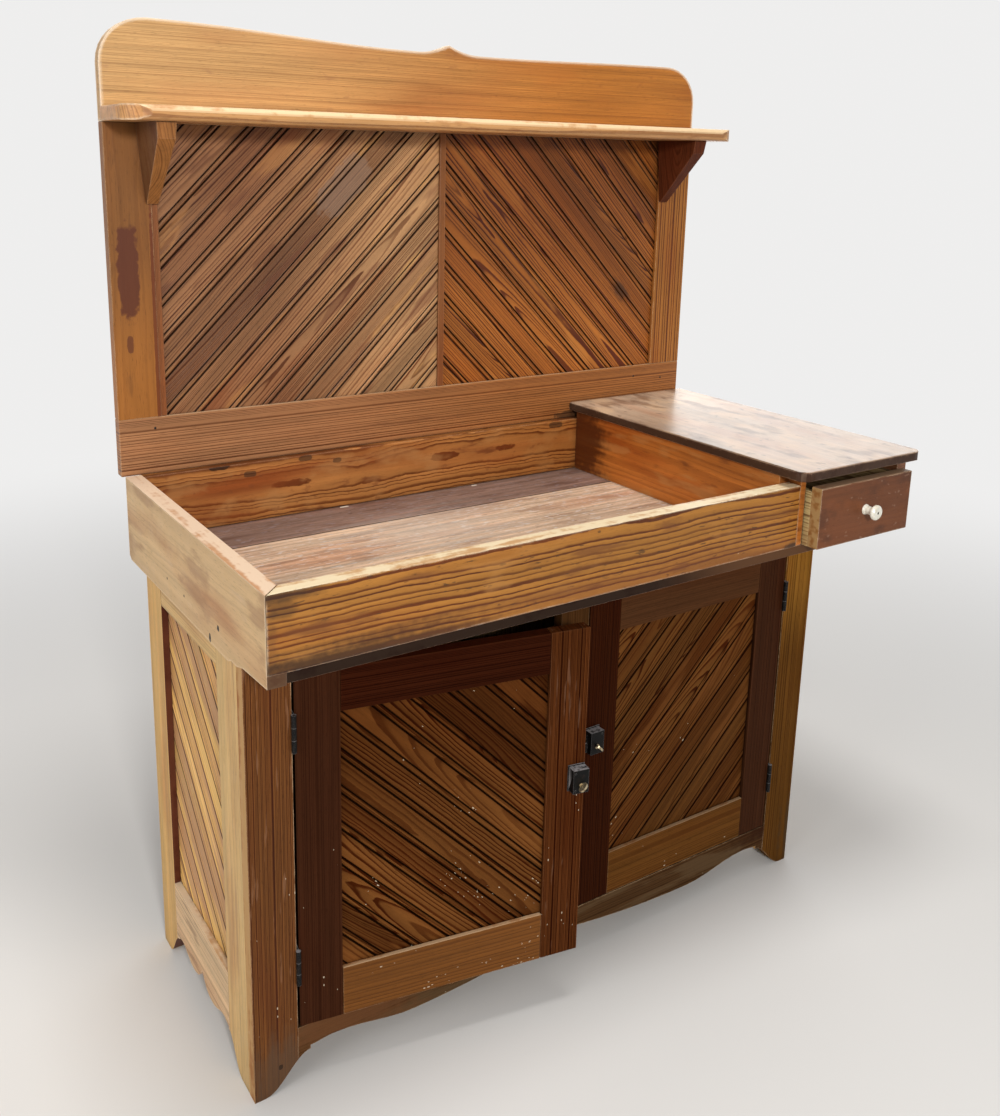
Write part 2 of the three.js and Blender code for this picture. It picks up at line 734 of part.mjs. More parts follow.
function buttHinge(name, z, hand, fixed, moving) {
  const tall = [z - hingeHeight / 2, z + hingeHeight / 2];
  const lower = [tall[0], z - knuckleMiddle / 2 - seam];
  const upper = [z + knuckleMiddle / 2 + seam, tall[1]];
  const centre = [z - knuckleMiddle / 2, z + knuckleMiddle / 2];
  const plateY = [knuckleRadius + seam, hingeAxisOut + hingeLeafWidth];
  const tabY = [0, plateY[0] + hingeLeaf];
  const wide = (from) => span(hand * from, hand * (from + hingeLeaf));
  const fixedX = wide(-hingeGap / 2);
  const movingX = wide(hingeGap / 2 - seam - hingeLeaf);
  const round = (radius, height) => prism('z', circle(point(0, 0), radius, knuckleSides), height);
  const frameLeaf = join(
    block(fixedX, plateY, tall), block(fixedX, tabY, lower), block(fixedX, tabY, upper),
    round(knuckleRadius, lower), round(knuckleRadius, upper), round(hingePinRadius, tall),
  );
  const doorLeaf = cut(
    join(block(movingX, plateY, tall), block(movingX, tabY, centre), round(knuckleRadius, centre)),
    round(hingeBoreRadius, grown(centre, overrun)),
  );
  add(`${name}_frame_leaf`, frameLeaf, 'blackIron', fixed);
  add(`${name}_door_leaf`, doorLeaf, 'blackIron', moving);
}

// A cast catch on the door's face: turning its thumb piece swings the tongue out of the case's side.
function doorCatch(name, hand, doorGroup) {
  const backY = hingeAxisOut - seam;
  const frontY = backY - catchDepth;
  const far = doorReach - catchEdge;
  const wide = (from, to) => span(hand * from, hand * to);
  const tall = [catchHeight - catchTall / 2, catchHeight + catchTall / 2];
  const spindleX = far - spindleFromEdge;
  const spindleZ = catchHeight - spindleBelowMiddle;
  const tongueY = [backY - tongueFromDoor - tongueThickness, backY - tongueFromDoor];
  const wallX = far - catchWall;
  const corner = Math.hypot(tongueLength, tongueWidth / 2);
  const slotTop = spindleZ + Math.sqrt(corner ** 2 - (wallX - spindleX) ** 2);
  const slotZ = [spindleZ - tongueWidth / 2 - runningClearance, slotTop + runningClearance];
  const spindleAt = (radius, y) => prism('y', circle(point(hand * spindleX, spindleZ), radius, knuckleSides), y);
  const shell = join(
    block(wide(far - catchWidth, far), [frontY, backY], tall),
    block(wide(far - catchWidth - catchFlangeLap, far), [backY - catchFlange, backY], grown(tall, catchFlangeLap)),
  );
  const hollow = block(wide(far - catchWidth + catchWall, wallX), [frontY + catchWall, backY + overrun],
    grown(tall, -catchWall));
  const slot = block(wide(wallX - overrun, far + overrun), grown(tongueY, runningClearance), slotZ);
  const hole = spindleAt(spindleRadius + runningClearance, [frontY - overrun, frontY + catchWall + overrun]);
  add(`${name}_case`, cut(shell, hollow, slot, hole), 'blackIron', doorGroup);

  const half = tongueWidth / 2;
  const tongue = [
    ...arc(point(0, 0), half, half, Math.PI, 2 * Math.PI, 6),
    point(half, tongueLength), point(-half, tongueLength),
  ].map(({ x, y }) => point(hand * spindleX + x, spindleZ + y));
  const bladeY = frontY - thumbCollar - thumbReach / 2;
  const blade = prism('z', arc(point(0, 0), thumbLength / 2, thumbReach / 2, 0, 2 * Math.PI, thumbSides)
    .slice(0, thumbSides), [-thumbThickness / 2, thumbThickness / 2]);
  blade.rotateY(-hand * Math.PI / 4).translate(hand * spindleX, bladeY, spindleZ);
  const turn = join(
    prism('y', tongue, tongueY),
    spindleAt(spindleRadius, [bladeY, tongueY[1]]),
    spindleAt(spindleRadius * 2, [frontY - thumbCollar, frontY - seam]),
    blade,
  );
  add(`${name}_turn`, turn, 'brass', doorGroup);
}

function door(side, hand, axisX, angle, lean, phase, finish) {
  const fixed = new THREE.Group();
  fixed.position.set(axisX, -hingeAxisOut, 0);
  const moving = new THREE.Group();
  moving.position.copy(fixed.position);
  moving.rotation.z = -hand * THREE.MathUtils.degToRad(angle);
  cabinet.add(fixed, moving);

  const bottom = doorwayBottom + doorPlay;
  const top = doorwayTop - doorPlay;
  const deep = [hingeAxisOut, hingeAxisOut + frameThickness];
  const near = hingeGap / 2;
  const opening = [span(hand * (near + doorStileWidth), hand * (doorReach - doorStileWidth)),
    [bottom + doorBottomRail, top - doorTopRail]];
  const railX = grown(opening[0], -seam);
  const parts = {
    hinge_stile: block(span(hand * near, hand * (near + doorStileWidth)), deep, [bottom, top]),
    latch_stile: block(span(hand * (doorReach - doorStileWidth), hand * doorReach), deep, [bottom, top]),
    top_rail: block(railX, deep, [opening[1][1], top]),
    bottom_rail: block(railX, deep, [bottom, opening[1][0]]),
  };
  for (const [name, geometry] of Object.entries(parts)) {
    const [piece] = rabbet(opening, hingeAxisOut, geometry);
    add(`${side}_door_${name}`, piece, name === 'bottom_rail' ? 'amberPine' : finish, moving);
  }
  const panel = framePanel(opening, hingeAxisOut + panelRecess, lean, phase, doorBoardPitch);
  add(`${side}_door_panel`, panel, 'redPine', moving);
  buttHinge(`${side}_upper_hinge`, top - hingeFromTop, hand, fixed, moving);
  buttHinge(`${side}_lower_hinge`, bottom + hingeFromBottom, hand, fixed, moving);
  doorCatch(`${side}_catch`, hand, moving);
}

// One casting on the centre stile holds both tongues: they pass under its lip from either side.
function catchKeeper() {
  const mid = (centreStileLeft + centreStileRight) / 2;
  const lipBack = -seam - tongueFromDoor - tongueThickness - keeperPlay;
  const outline = [
    point(mid - keeperBaseWidth / 2, 0), point(mid - keeperBaseWidth / 2, -keeperBase),
    point(mid - keeperWeb / 2, -keeperBase), point(mid - keeperWeb / 2, lipBack),
    point(mid - keeperWidth / 2, lipBack), point(mid - keeperWidth / 2, lipBack - keeperLip),
    point(mid + keeperWidth / 2, lipBack - keeperLip), point(mid + keeperWidth / 2, lipBack),
    point(mid + keeperWeb / 2, lipBack), point(mid + keeperWeb / 2, -keeperBase),
    point(mid + keeperBaseWidth / 2, -keeperBase), point(mid + keeperBaseWidth / 2, 0),
  ];
  const z = catchHeight - spindleBelowMiddle;
  add('catch_keeper', prism('z', outline, [z - keeperHeight / 2, z + keeperHeight / 2]), 'blackIron');
}

faceFrame();
sideLeft();
sideRight();
baseInside();
tray();
drawerCaseTop();
drawer();
backsplash();
shelfAndBrackets();
door('left', 1, faceStileWidth + hingeGap / 2, leftDoorAngle, -1, leftDoorPhaseShare, 'redPine');
door('right', -1, baseWidth - faceStileWidth - hingeGap / 2, 0, 1, rightDoorPhaseShare, 'darkPine');
catchKeeper();

// The origin is the middle of the bounding box's foot.
cabinet.updateMatrixWorld(true);
const bounds = new THREE.Box3().setFromObject(cabinet, true);
cabinet.position.set(-(bounds.min.x + bounds.max.x) / 2, -(bounds.min.y + bounds.max.y) / 2, -bounds.min.z);

export default cabinet;
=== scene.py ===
import json
import math

import bmesh
import bpy
from mathutils import Matrix, Vector

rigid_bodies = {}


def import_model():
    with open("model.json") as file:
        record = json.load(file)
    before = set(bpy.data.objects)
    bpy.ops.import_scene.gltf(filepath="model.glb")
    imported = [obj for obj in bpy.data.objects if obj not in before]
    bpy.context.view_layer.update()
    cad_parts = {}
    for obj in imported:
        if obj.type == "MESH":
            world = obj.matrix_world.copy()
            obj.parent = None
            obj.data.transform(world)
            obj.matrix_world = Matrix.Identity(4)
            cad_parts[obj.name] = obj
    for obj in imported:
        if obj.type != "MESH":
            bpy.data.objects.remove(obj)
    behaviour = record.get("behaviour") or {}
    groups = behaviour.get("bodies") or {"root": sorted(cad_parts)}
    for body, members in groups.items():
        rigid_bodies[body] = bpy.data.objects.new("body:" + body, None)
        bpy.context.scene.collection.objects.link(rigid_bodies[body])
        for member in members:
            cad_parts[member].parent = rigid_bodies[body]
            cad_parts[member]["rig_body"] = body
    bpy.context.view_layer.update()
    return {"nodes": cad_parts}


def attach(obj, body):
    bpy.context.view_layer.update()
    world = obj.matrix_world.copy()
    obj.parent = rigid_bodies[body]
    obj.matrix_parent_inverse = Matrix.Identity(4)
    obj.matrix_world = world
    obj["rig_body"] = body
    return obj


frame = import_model()
nodes = frame["nodes"]

DIAGONAL = math.sqrt(0.5)
X, Y, Z = Vector((1, 0, 0)), Vector((0, 1, 0)), Vector((0, 0, 1))
X_AXIS, Y_AXIS, Z_AXIS = 0, 1, 2

# Places in the cabinet's own millimetres (x = 0 at the base's left side, y = 0 at the doors' front)
# are turned into the frame's metres by this shift.
SHIFT = Vector((584.0, 166.5, 0.0))


def spot(x, y, z):
    return (Vector((x, y, z)) - SHIFT) / 1000


def spans_of(node, axes):
    """How far a piece reaches along each axis: its lowest and highest value."""
    points = [v.co for v in nodes[node].data.vertices]
    return [(min(p.dot(a) for p in points), max(p.dot(a) for p in points)) for a in axes]


# ---- Camera: fitted to the photograph

IMAGE_W, IMAGE_H = 1000, 1116
FOCAL, CENTRE_X, CENTRE_Y = 1101.2, 475.1, 420.8  # pixels
PITCH, YAW, ROLL = 0.2306, 0.5794, 0.0195  # radians
CAMERA_PLACE = (-462.0, -1237.0, 1296.5)  # the cabinet's millimetres
SENSOR_WIDTH = 36.0


def make_camera():
    cy, sy = math.cos(YAW), math.sin(YAW)
    cp, sp = math.cos(PITCH), math.sin(PITCH)
    cr, sr = math.cos(ROLL), math.sin(ROLL)
    yaw = Matrix(((cy, -sy, 0), (sy, cy, 0), (0, 0, 1)))
    base = Matrix(((1, 0, 0), (0, 0, -1), (0, 1, 0)))
    pitch = Matrix(((1, 0, 0), (0, cp, -sp), (0, sp, cp)))
    roll = Matrix(((cr, -sr, 0), (sr, cr, 0), (0, 0, 1)))
    view = roll @ pitch @ base @ yaw
    right, up, back = view[0], -view[1], -view[2]
    data = bpy.data.cameras.new("camera")
    data.sensor_fit = "AUTO"
    data.sensor_width = SENSOR_WIDTH
    data.lens = FOCAL * SENSOR_WIDTH / IMAGE_H
    data.shift_x = (IMAGE_W / 2 - CENTRE_X) / IMAGE_H
    data.shift_y = (CENTRE_Y - IMAGE_H / 2) / IMAGE_H
    data.clip_start, data.clip_end = 0.05, 100
    camera = bpy.data.objects.new("camera", data)
    turn = Matrix((right, up, back)).transposed().to_4x4()
    camera.matrix_world = Matrix.Translation(spot(*CAMERA_PLACE)) @ turn
    bpy.context.scene.collection.objects.link(camera)
    bpy.context.scene.camera = camera


make_camera()

# ---- Node graphs


class Graph:
    """Short names for shader nodes. An input is a number, a vector or another node's output."""

    def __init__(self, tree):
        self.tree = tree

    def link(self, value, node, key):
        self.tree.links.new(value, node.inputs[key])

    def add(self, kind, inputs=None, **settings):
        node = self.tree.nodes.new("ShaderNode" + kind)
        for key, value in settings.items():
            setattr(node, key, value)
        for key, value in (inputs or {}).items():
            if isinstance(value, bpy.types.NodeSocket):
                self.link(value, node, key)
            else:
                node.inputs[key].default_value = value
        return node

    def math(self, operation, a, b=0.0, clamp=False):
        return self.add("Math", {0: a, 1: b}, operation=operation, use_clamp=clamp).outputs[0]

    def mul(self, a, b):
        return self.math("MULTIPLY", a, b)

    def plus(self, a, b):
        return self.math("ADD", a, b)

    def minus(self, a, b, clamp=False):
        return self.math("SUBTRACT", a, b, clamp)

    def swing(self, value, by):
        """A value from 0 to 1 becomes one from -by / 2 to by / 2."""
        return self.mul(self.minus(value, 0.5), by)

    def step(self, value, low, high, start=0.0, end=1.0):
        """start at low and end at high, with a smooth change between them."""
        inputs = {0: value, 1: low, 2: high, 3: start, 4: end}
        return self.add("MapRange", inputs, interpolation_type="SMOOTHSTEP").outputs[0]

    def scaled(self, vector, by):
        return self.add("VectorMath", {0: vector, 1: by}, operation="MULTIPLY").outputs[0]

    def moved(self, vector, by):
        return self.add("VectorMath", {0: vector, 1: by}, operation="ADD").outputs[0]

    def dot(self, a, b):
        return self.add("VectorMath", {0: a, 1: b}, operation="DOT_PRODUCT").outputs["Value"]

    def join(self, x=0.0, y=0.0, z=0.0):
        return self.add("CombineXYZ", {0: x, 1: y, 2: z}).outputs[0]

    def split(self, vector):
        return self.add("SeparateXYZ", {0: vector}).outputs

    def noise(self, vector, scale=1.0, detail=2.0, rough=0.5):
        inputs = {"Vector": vector, "Scale": scale, "Detail": detail, "Roughness": rough}
        return self.add("TexNoise", inputs).outputs["Fac"]

    def mix(self, share, a, b, mode="MIX"):
        node = self.add("Mix", data_type="RGBA", blend_type=mode)
        for index, value in ((0, share), (6, a), (7, b)):
            if isinstance(value, bpy.types.NodeSocket):
                self.link(value, node, index)
            elif index == 0:
                node.inputs[0].default_value = value
            else:
                node.inputs[index].default_value = (*value, 1.0)
        return node.outputs[2]

    def darken(self, colour, by):
        """colour times a number."""
        grey = self.add("CombineColor", {0: by, 1: by, 2: by}).outputs[0]
        return self.mix(1.0, colour, grey, "MULTIPLY")


def new_group(name, inputs, outputs):
    group = bpy.data.node_groups.new(name, "ShaderNodeTree")
    for kind, key, value in inputs:
        socket = group.interface.new_socket(key, in_out="INPUT", socket_type="NodeSocket" + kind)
        if value is not None:
            socket.default_value = value
    for kind, key in outputs:
        group.interface.new_socket(key, in_out="OUTPUT", socket_type="NodeSocket" + kind)
    given, result = group.nodes.new("NodeGroupInput"), group.nodes.new("NodeGroupOutput")
    return group, Graph(group), given.outputs, result


def rings_group():
    """Growth rings of a log whose pith runs along x, cut by the piece's faces. Late is 1 on the dark
    lines, Fibre and Tone are fine and middling streaks, Broad is a slow change and Pores are 1 in
    short dashes."""
    group, g, take, result = new_group(
        "growth_rings",
        [("Vector", "Vector", None), ("Float", "Seed", 0.0), ("Float", "Pith Y", 0.0),
         ("Float", "Pith Z", -0.03), ("Float", "Spacing", 0.005), ("Float", "Wave", 0.012),
         ("Float", "Slope", 0.0), ("Float", "Long", 1.0)],
        [("Float", "Late"), ("Float", "Fibre"), ("Float", "Broad"), ("Float", "Tone"),
         ("Float", "Pores")],
    )
    seed = take["Seed"]
    offset = g.join(g.mul(seed, 3.1), g.mul(seed, 5.7), g.mul(seed, 2.3))
    place = g.moved(take["Vector"], offset)
    along = g.join(take["Long"], 1.0, 1.0)

    def sway(stretch, detail, amount, shift=0.0):
        at = g.moved(g.scaled(g.scaled(place, stretch), along), (shift, shift, shift))
        value = g.minus(g.noise(at, detail=detail), 0.5)
        return g.mul(g.mul(value, take["Wave"]), amount)

    # The distance from the pith with large and small waves, counted in rings of unlike width
    x, y, z = g.split(take["Vector"])
    deep = g.plus(g.minus(z, take["Pith Z"]), sway((2.4, 6, 6), 1.0, 1.1))
    deep = g.plus(deep, g.mul(x, take["Slope"]))
    wide = g.plus(g.minus(y, take["Pith Y"]), sway((1.2, 4, 4), 1.0, 1.4, 9.0))
    reach = g.math("SQRT", g.plus(g.mul(deep, deep), g.mul(wide, wide)))
    reach = g.plus(reach, sway((15, 60, 60), 3.0, 0.22, 4.0))
    rings = g.math("DIVIDE", reach, take["Spacing"])
    uneven = g.add("TexNoise", {"W": g.plus(g.mul(rings, 0.45), seed), "Detail": 0.0, "Scale": 1.0},
                   noise_dimensions="1D").outputs["Fac"]
    rings = g.plus(rings, g.mul(uneven, 1.8))
    part = g.math("FRACT", rings)
    each = g.add("TexWhiteNoise", {"W": g.plus(g.math("FLOOR", rings), g.mul(seed, 7.0))},
                 noise_dimensions="1D").outputs["Value"]

    # Within a ring the wood darkens slowly, then quickly, and ends sharply
    slow_rise, quick_rise, sharp_end = (0.05, 0.6), (0.55, 0.80), (0.93, 1.0)
    late = g.plus(g.mul(g.step(part, *quick_rise), 0.82), g.mul(g.step(part, *slow_rise), 0.18))
    late = g.mul(late, g.step(part, *sharp_end, 1.0, 0.0))
    late = g.mul(late, g.plus(g.mul(each, 0.45), 0.55))
    pores = g.step(g.noise(g.scaled(place, (70, 900, 900)), detail=1.0), 0.62, 0.74)
    g.link(late, result, "Late")
    g.link(g.noise(g.scaled(place, (16, 560, 560)), detail=3.0), result, "Fibre")
    g.link(g.noise(g.scaled(place, (2.4, 13, 13)), detail=2.0), result, "Broad")
    g.link(g.noise(g.scaled(place, (3.5, 90, 90)), detail=1.0), result, "Tone")
    g.link(pores, result, "Pores")
    return group


BOARD_SHIFT = 9.0  # metres along the grain at most, so that no two boards show the same figure
GROOVE_PLACE = 0.00455  # metres from the joint of two boards to the grooves beside it
GROOVE_HALF_WIDTH = (0.0009, 0.0022)  # metres, to where a groove is full and to where it ends


def boards_group():
    """Splits a beaded panel into its boards: y becomes the place in the board, and each board gets its
    own random numbers. Groove is 1 in the grooves."""
    group, g, take, result = new_group(
        "beaded_boards",
        [("Vector", "Vector", None), ("Float", "Seed", 0.0), ("Float", "Start", 0.0),
         ("Float", "Pitch", 0.04)],
        [("Vector", "Vector"), ("Vector", "Random"), ("Float", "Groove")],
    )
    x, y, z = g.split(take["Vector"])
    place = g.math("DIVIDE", g.minus(y, take["Start"]), take["Pitch"])
    number = g.math("FLOOR", place)
    inside = g.math("FRACT", place)
    random = g.add("TexWhiteNoise", {"W": g.plus(number, g.mul(take["Seed"], 17.3))},
                   noise_dimensions="1D").outputs["Color"]
    shifted = g.plus(x, g.mul(g.split(random)[0], BOARD_SHIFT))
    near = g.minus(0.5, g.math("ABSOLUTE", g.minus(inside, 0.5)))
    off_groove = g.math("ABSOLUTE", g.minus(g.mul(near, take["Pitch"]), GROOVE_PLACE))
    g.link(g.join(shifted, g.swing(inside, take["Pitch"]), z), result, "Vector")
    g.link(random, result, "Random")
    g.link(g.step(off_groove, *GROOVE_HALF_WIDTH, 1.0, 0.0), result, "Groove")
    return group


RINGS = rings_group()
BOARDS = boards_group()

# ---- Local frames: grain, across and outward directions of each kind of piece

DOOR_TURN = Matrix.Rotation(math.radians(-10.2), 3, "Z")  # the left door stands ajar at rest
KINDS = {
    "front_h": (X, Z, -Y),
    "front_v": (Z, -X, -Y),
    "side_h": (Y, -Z, -X),
    "side_v": (Z, Y, -X),
    "top_x": (X, Y, Z),
    "top_y": (Y, -X, Z),
    "rise_right": ((X + Z) * DIAGONAL, (Z - X) * DIAGONAL, -Y),
    "rise_left": ((Z - X) * DIAGONAL, -(X + Z) * DIAGONAL, -Y),
    "side_rise": ((Y + Z) * DIAGONAL, (Y - Z) * DIAGONAL, -X),
}


def turn_of(node):
    """How the door that a piece is on is turned at rest."""
    return DOOR_TURN if nodes[node].get("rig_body") == "left_door" else Matrix.Identity(3)


def local_frame(node, kind):
    """Rotation rows and the origin's local coordinates: the middle of the piece on its front face."""
    turn = turn_of(node)
    axes = tuple(turn @ a for a in KINDS[kind])
    along, across, out = spans_of(node, axes)
    return Matrix(axes), Vector((sum(along) / 2, sum(across) / 2, out[1]))


# Beaded panels: direction, phase of the beads as a share of the pitch, and pitch of the boards
PANELS = {
    "splash_panel_left": ("rise_right", 1.0, 0.0412),
    "splash_panel_right": ("rise_left", 0.14, 0.0412),
    "left_door_panel": ("rise_left", 0.33, 0.0397),
    "right_door_panel": ("rise_right", 0.52, 0.0397),
    "side_left_panel": ("side_rise", 0.5, 0.0354),
}


def first_line(node, origin):
    """Where one bead of a panel lies, in the piece's local across coordinate."""
    kind, share, pitch = PANELS[node]
    flat = Y if kind == "side_rise" else turn_of(node) @ X
    sides, heights = spans_of(node, (flat, Z))
    lean = -1 if kind == "rise_left" else 1
    corners = [DIAGONAL * a - lean * DIAGONAL * b for a in sides for b in heights]
    line = min(corners) + share * pitch
    return (line if kind == "side_rise" else -line) - origin.y


# ---- Materials

UP, LEFT, FRONT = (0, 0, 1), (-1, 0, 0), (0, -1, 0)
NOSE = (0, -0.6, 0.8)  # the shelf's rounded front edge

CREAM = (0.72, 0.50, 0.30)
PALE_CREAM = (0.82, 0.66, 0.47)
# The colour of painted shade in corners
CORNER_SHADE = (0.012, 0.007, 0.004)
STAIN = (0.105, 0.027, 0.013)
HOLE = (0.01, 0.006, 0.004)
GRIME = (0.035, 0.018, 0.010)
PAINT = (0.62, 0.52, 0.38)

# Factors on a wood's colour
RED_BROWN = (0.66, 0.42, 0.30)
STRAW = (1.5, 1.75, 1.9)
STREAK = (0.7, 0.5, 0.36)
# Painted shade in the grooves of beaded panels
GROOVE_SHADE = (0.08, 0.06, 0.06)

RAYS = 4  # for the nodes that look for edges and corners
CORNER_REACH = 0.03  # metres


def new_material(name):
    material = bpy.data.materials.new(name)
    material.use_nodes = True
    tree = material.node_tree
    tree.nodes.clear()
    output = tree.nodes.new("ShaderNodeOutputMaterial")
    shader = tree.nodes.new("ShaderNodeBsdfPrincipled")
    tree.links.new(shader.outputs[0], output.inputs[0])
    return material, Graph(tree), shader


def dress(obj, material):
    obj.data.materials.clear()
    obj.data.materials.append(material)


def edge_mask(g, radius):
    """1 on the edges of a piece, 0 on its faces."""
    bevel = g.add("Bevel", {"Radius": radius}, samples=RAYS).outputs[0]
    normal = g.add("NewGeometry").outputs["True Normal"]
    return g.step(g.dot(bevel, normal), 0.985, 0.84)


def openness(g, reach):
    """1 where nothing is near, 0 deep in a corner."""
    return g.add("AmbientOcclusion", {"Distance": reach}, samples=RAYS).outputs["AO"]


def times(colour, by):
    return tuple(min(c * k, 1.0) for c, k in zip(colour, by))


def call(g, group, **values):
    """A group node with its inputs set or linked; underscores in the names stand for spaces."""
    node = g.add("Group", node_tree=group)
    for key, value in values.items():
        key = key.replace("_", " ")
        if isinstance(value, bpy.types.NodeSocket):
            g.link(value, node, key)
        else:
            node.inputs[key].default_value = value
    return node.outputs


def panel_boards(g, node, local, origin, seed, spacing, figure, depth, spread):
    """A beaded panel's boards: the place in a board, the grooves, each board's random numbers, and
    what the rings of each board take."""
    start, pitch = first_line(node, origin), PANELS[node][2]
    boards = call(g, BOARDS, Vector=local, Seed=seed, Start=start, Pitch=pitch)
    board = g.split(boards["Random"])
    slope = g.mul(g.swing(board[0], 2.0), figure)
    # The first term takes back the depth that the slope gains over the board's own shift
    pith_z = g.minus(g.mul(g.mul(board[0], BOARD_SHIFT), slope), g.plus(g.mul(board[2], depth), 0.006))
    width = g.mul(g.plus(g.mul(board[0], 0.7), 0.6), spacing)
    settings = dict(Pith_Y=g.swing(board[1], spread), Pith_Z=pith_z, Spacing=width, Slope=slope)
    return boards["Vector"], boards["Groove"], board, settings


def pine_colour(g, late, rings, board, mean, pale, dark, hue, broad, fibre, vary):
    """Early and late wood with streaks, slow changes of tone, and each board's own tone."""
    fine, slow, tone = rings["Fibre"], rings["Broad"], rings["Tone"]
    red, straw = times(mean, RED_BROWN), times(mean, STRAW)
    colour = g.mix(late, times(mean, pale), times(mean, dark))
    colour = g.mix(g.mul(g.step(slow, 0.5, 0.75), hue * 2), colour, red)
    colour = g.mix(g.mul(g.step(slow, 0.46, 0.25), hue), colour, straw)
    level = g.plus(g.swing(slow, broad * 1.6), 1.0)
    level = g.mul(level, g.plus(g.swing(fine, fibre), 1.0))
    level = g.mul(level, g.plus(g.swing(tone, fibre * 1.4), 1.0))
    level = g.mul(level, g.minus(1.0, g.mul(rings["Pores"], 0.3)))
    if board is not None:
        level = g.mul(level, g.plus(g.swing(board[0], vary * 2), 1.0))
        colour = g.mix(g.mul(g.step(board[1], 0.5, 1.0), vary * 1.4), colour, red)
        colour = g.mix(g.mul(g.step(board[2], 0.6, 1.0), vary * 1.2), colour, straw)
    return g.darken(colour, level)


def with_smears(g, colour, place, seed, smears):
    for index, (smear_colour, stretch, low, high, strength) in enumerate(smears):
        at = g.moved(g.scaled(place, stretch), (seed + 5.0 * index,) * 3)
        share = g.mul(g.step(g.noise(at, detail=4.0), low, high), strength)
        colour = g.mix(share, colour, smear_colour)
    return colour


def with_marks(g, colour, local, normal, tone, rows, origin, marks):
    on_front = g.step(g.dot(normal, tuple(rows[2])), 0.3, 0.6)
    ragged = g.swing(g.noise(local, 70.0, 3.0), 0.8)
    u, v, _ = g.split(local)
    for place, half_u, half_v, mark_colour, strength, *given in marks:
        soft = given[0] if given else 0.1
        at = rows @ spot(*place) - origin
        du = g.math("ABSOLUTE", g.math("DIVIDE", g.minus(u, at.x), half_u))
        dv = g.math("ABSOLUTE", g.math("DIVIDE", g.minus(v, at.y), half_v))
        away = g.plus(g.math("POWER", du, 3.0), g.math("POWER", dv, 3.0))
        streaky = g.plus(ragged, g.swing(tone, 3.0 * soft))
        outline = g.plus(g.math("POWER", away, 0.333), streaky)
        share = g.mul(g.step(outline, 1.0 + soft, 1.0 - soft), strength)
        colour = g.mix(g.mul(share, on_front), colour, mark_colour)
    return colour


def with_faces(g, colour, place, normal, patchy, tone, faces):
    for direction, face_colour, strength, *ramp in faces:
        share = g.mul(g.step(g.dot(normal, direction), 0.6, 0.8), strength)
        streaks = g.step(g.plus(patchy, g.swing(tone, 1.2)), 0.48, 0.78)
        grainy = g.mix(streaks, face_colour, times(face_colour, STREAK))
        for low, high, far_colour in ramp:
            grainy = g.mix(g.step(g.split(place)[X_AXIS], low, high), grainy, far_colour)
        colour = g.mix(share, colour, grainy)
    return colour


def with_specks(g, colour, local, place, specks):
    """Drops of pale paint, in crowds and most of them low on the cabinet."""
    cells = g.add("TexVoronoi", {"Vector": g.scaled(local, (150, 330, 330)), "Scale": 1.0},
                  feature="F1")
    lucky = g.split(cells.outputs["Color"])
    low_down = g.plus(g.mul(g.step(g.split(place)[Z_AXIS], 0.5, 0.2), 0.85), 0.15)
    crowd = g.mul(g.step(g.noise(local, 11.0, 3.0), 0.5, 0.72), low_down)
    some = g.math("GREATER_THAN", g.plus(lucky[0], g.mul(crowd, specks)), 1.0)
    size = g.plus(g.mul(lucky[1], 0.26), 0.08)
    dot = g.mul(g.math("LESS_THAN", cells.outputs["Distance"], size), some)
    return g.mix(g.mul(dot, 0.75), colour, PAINT)


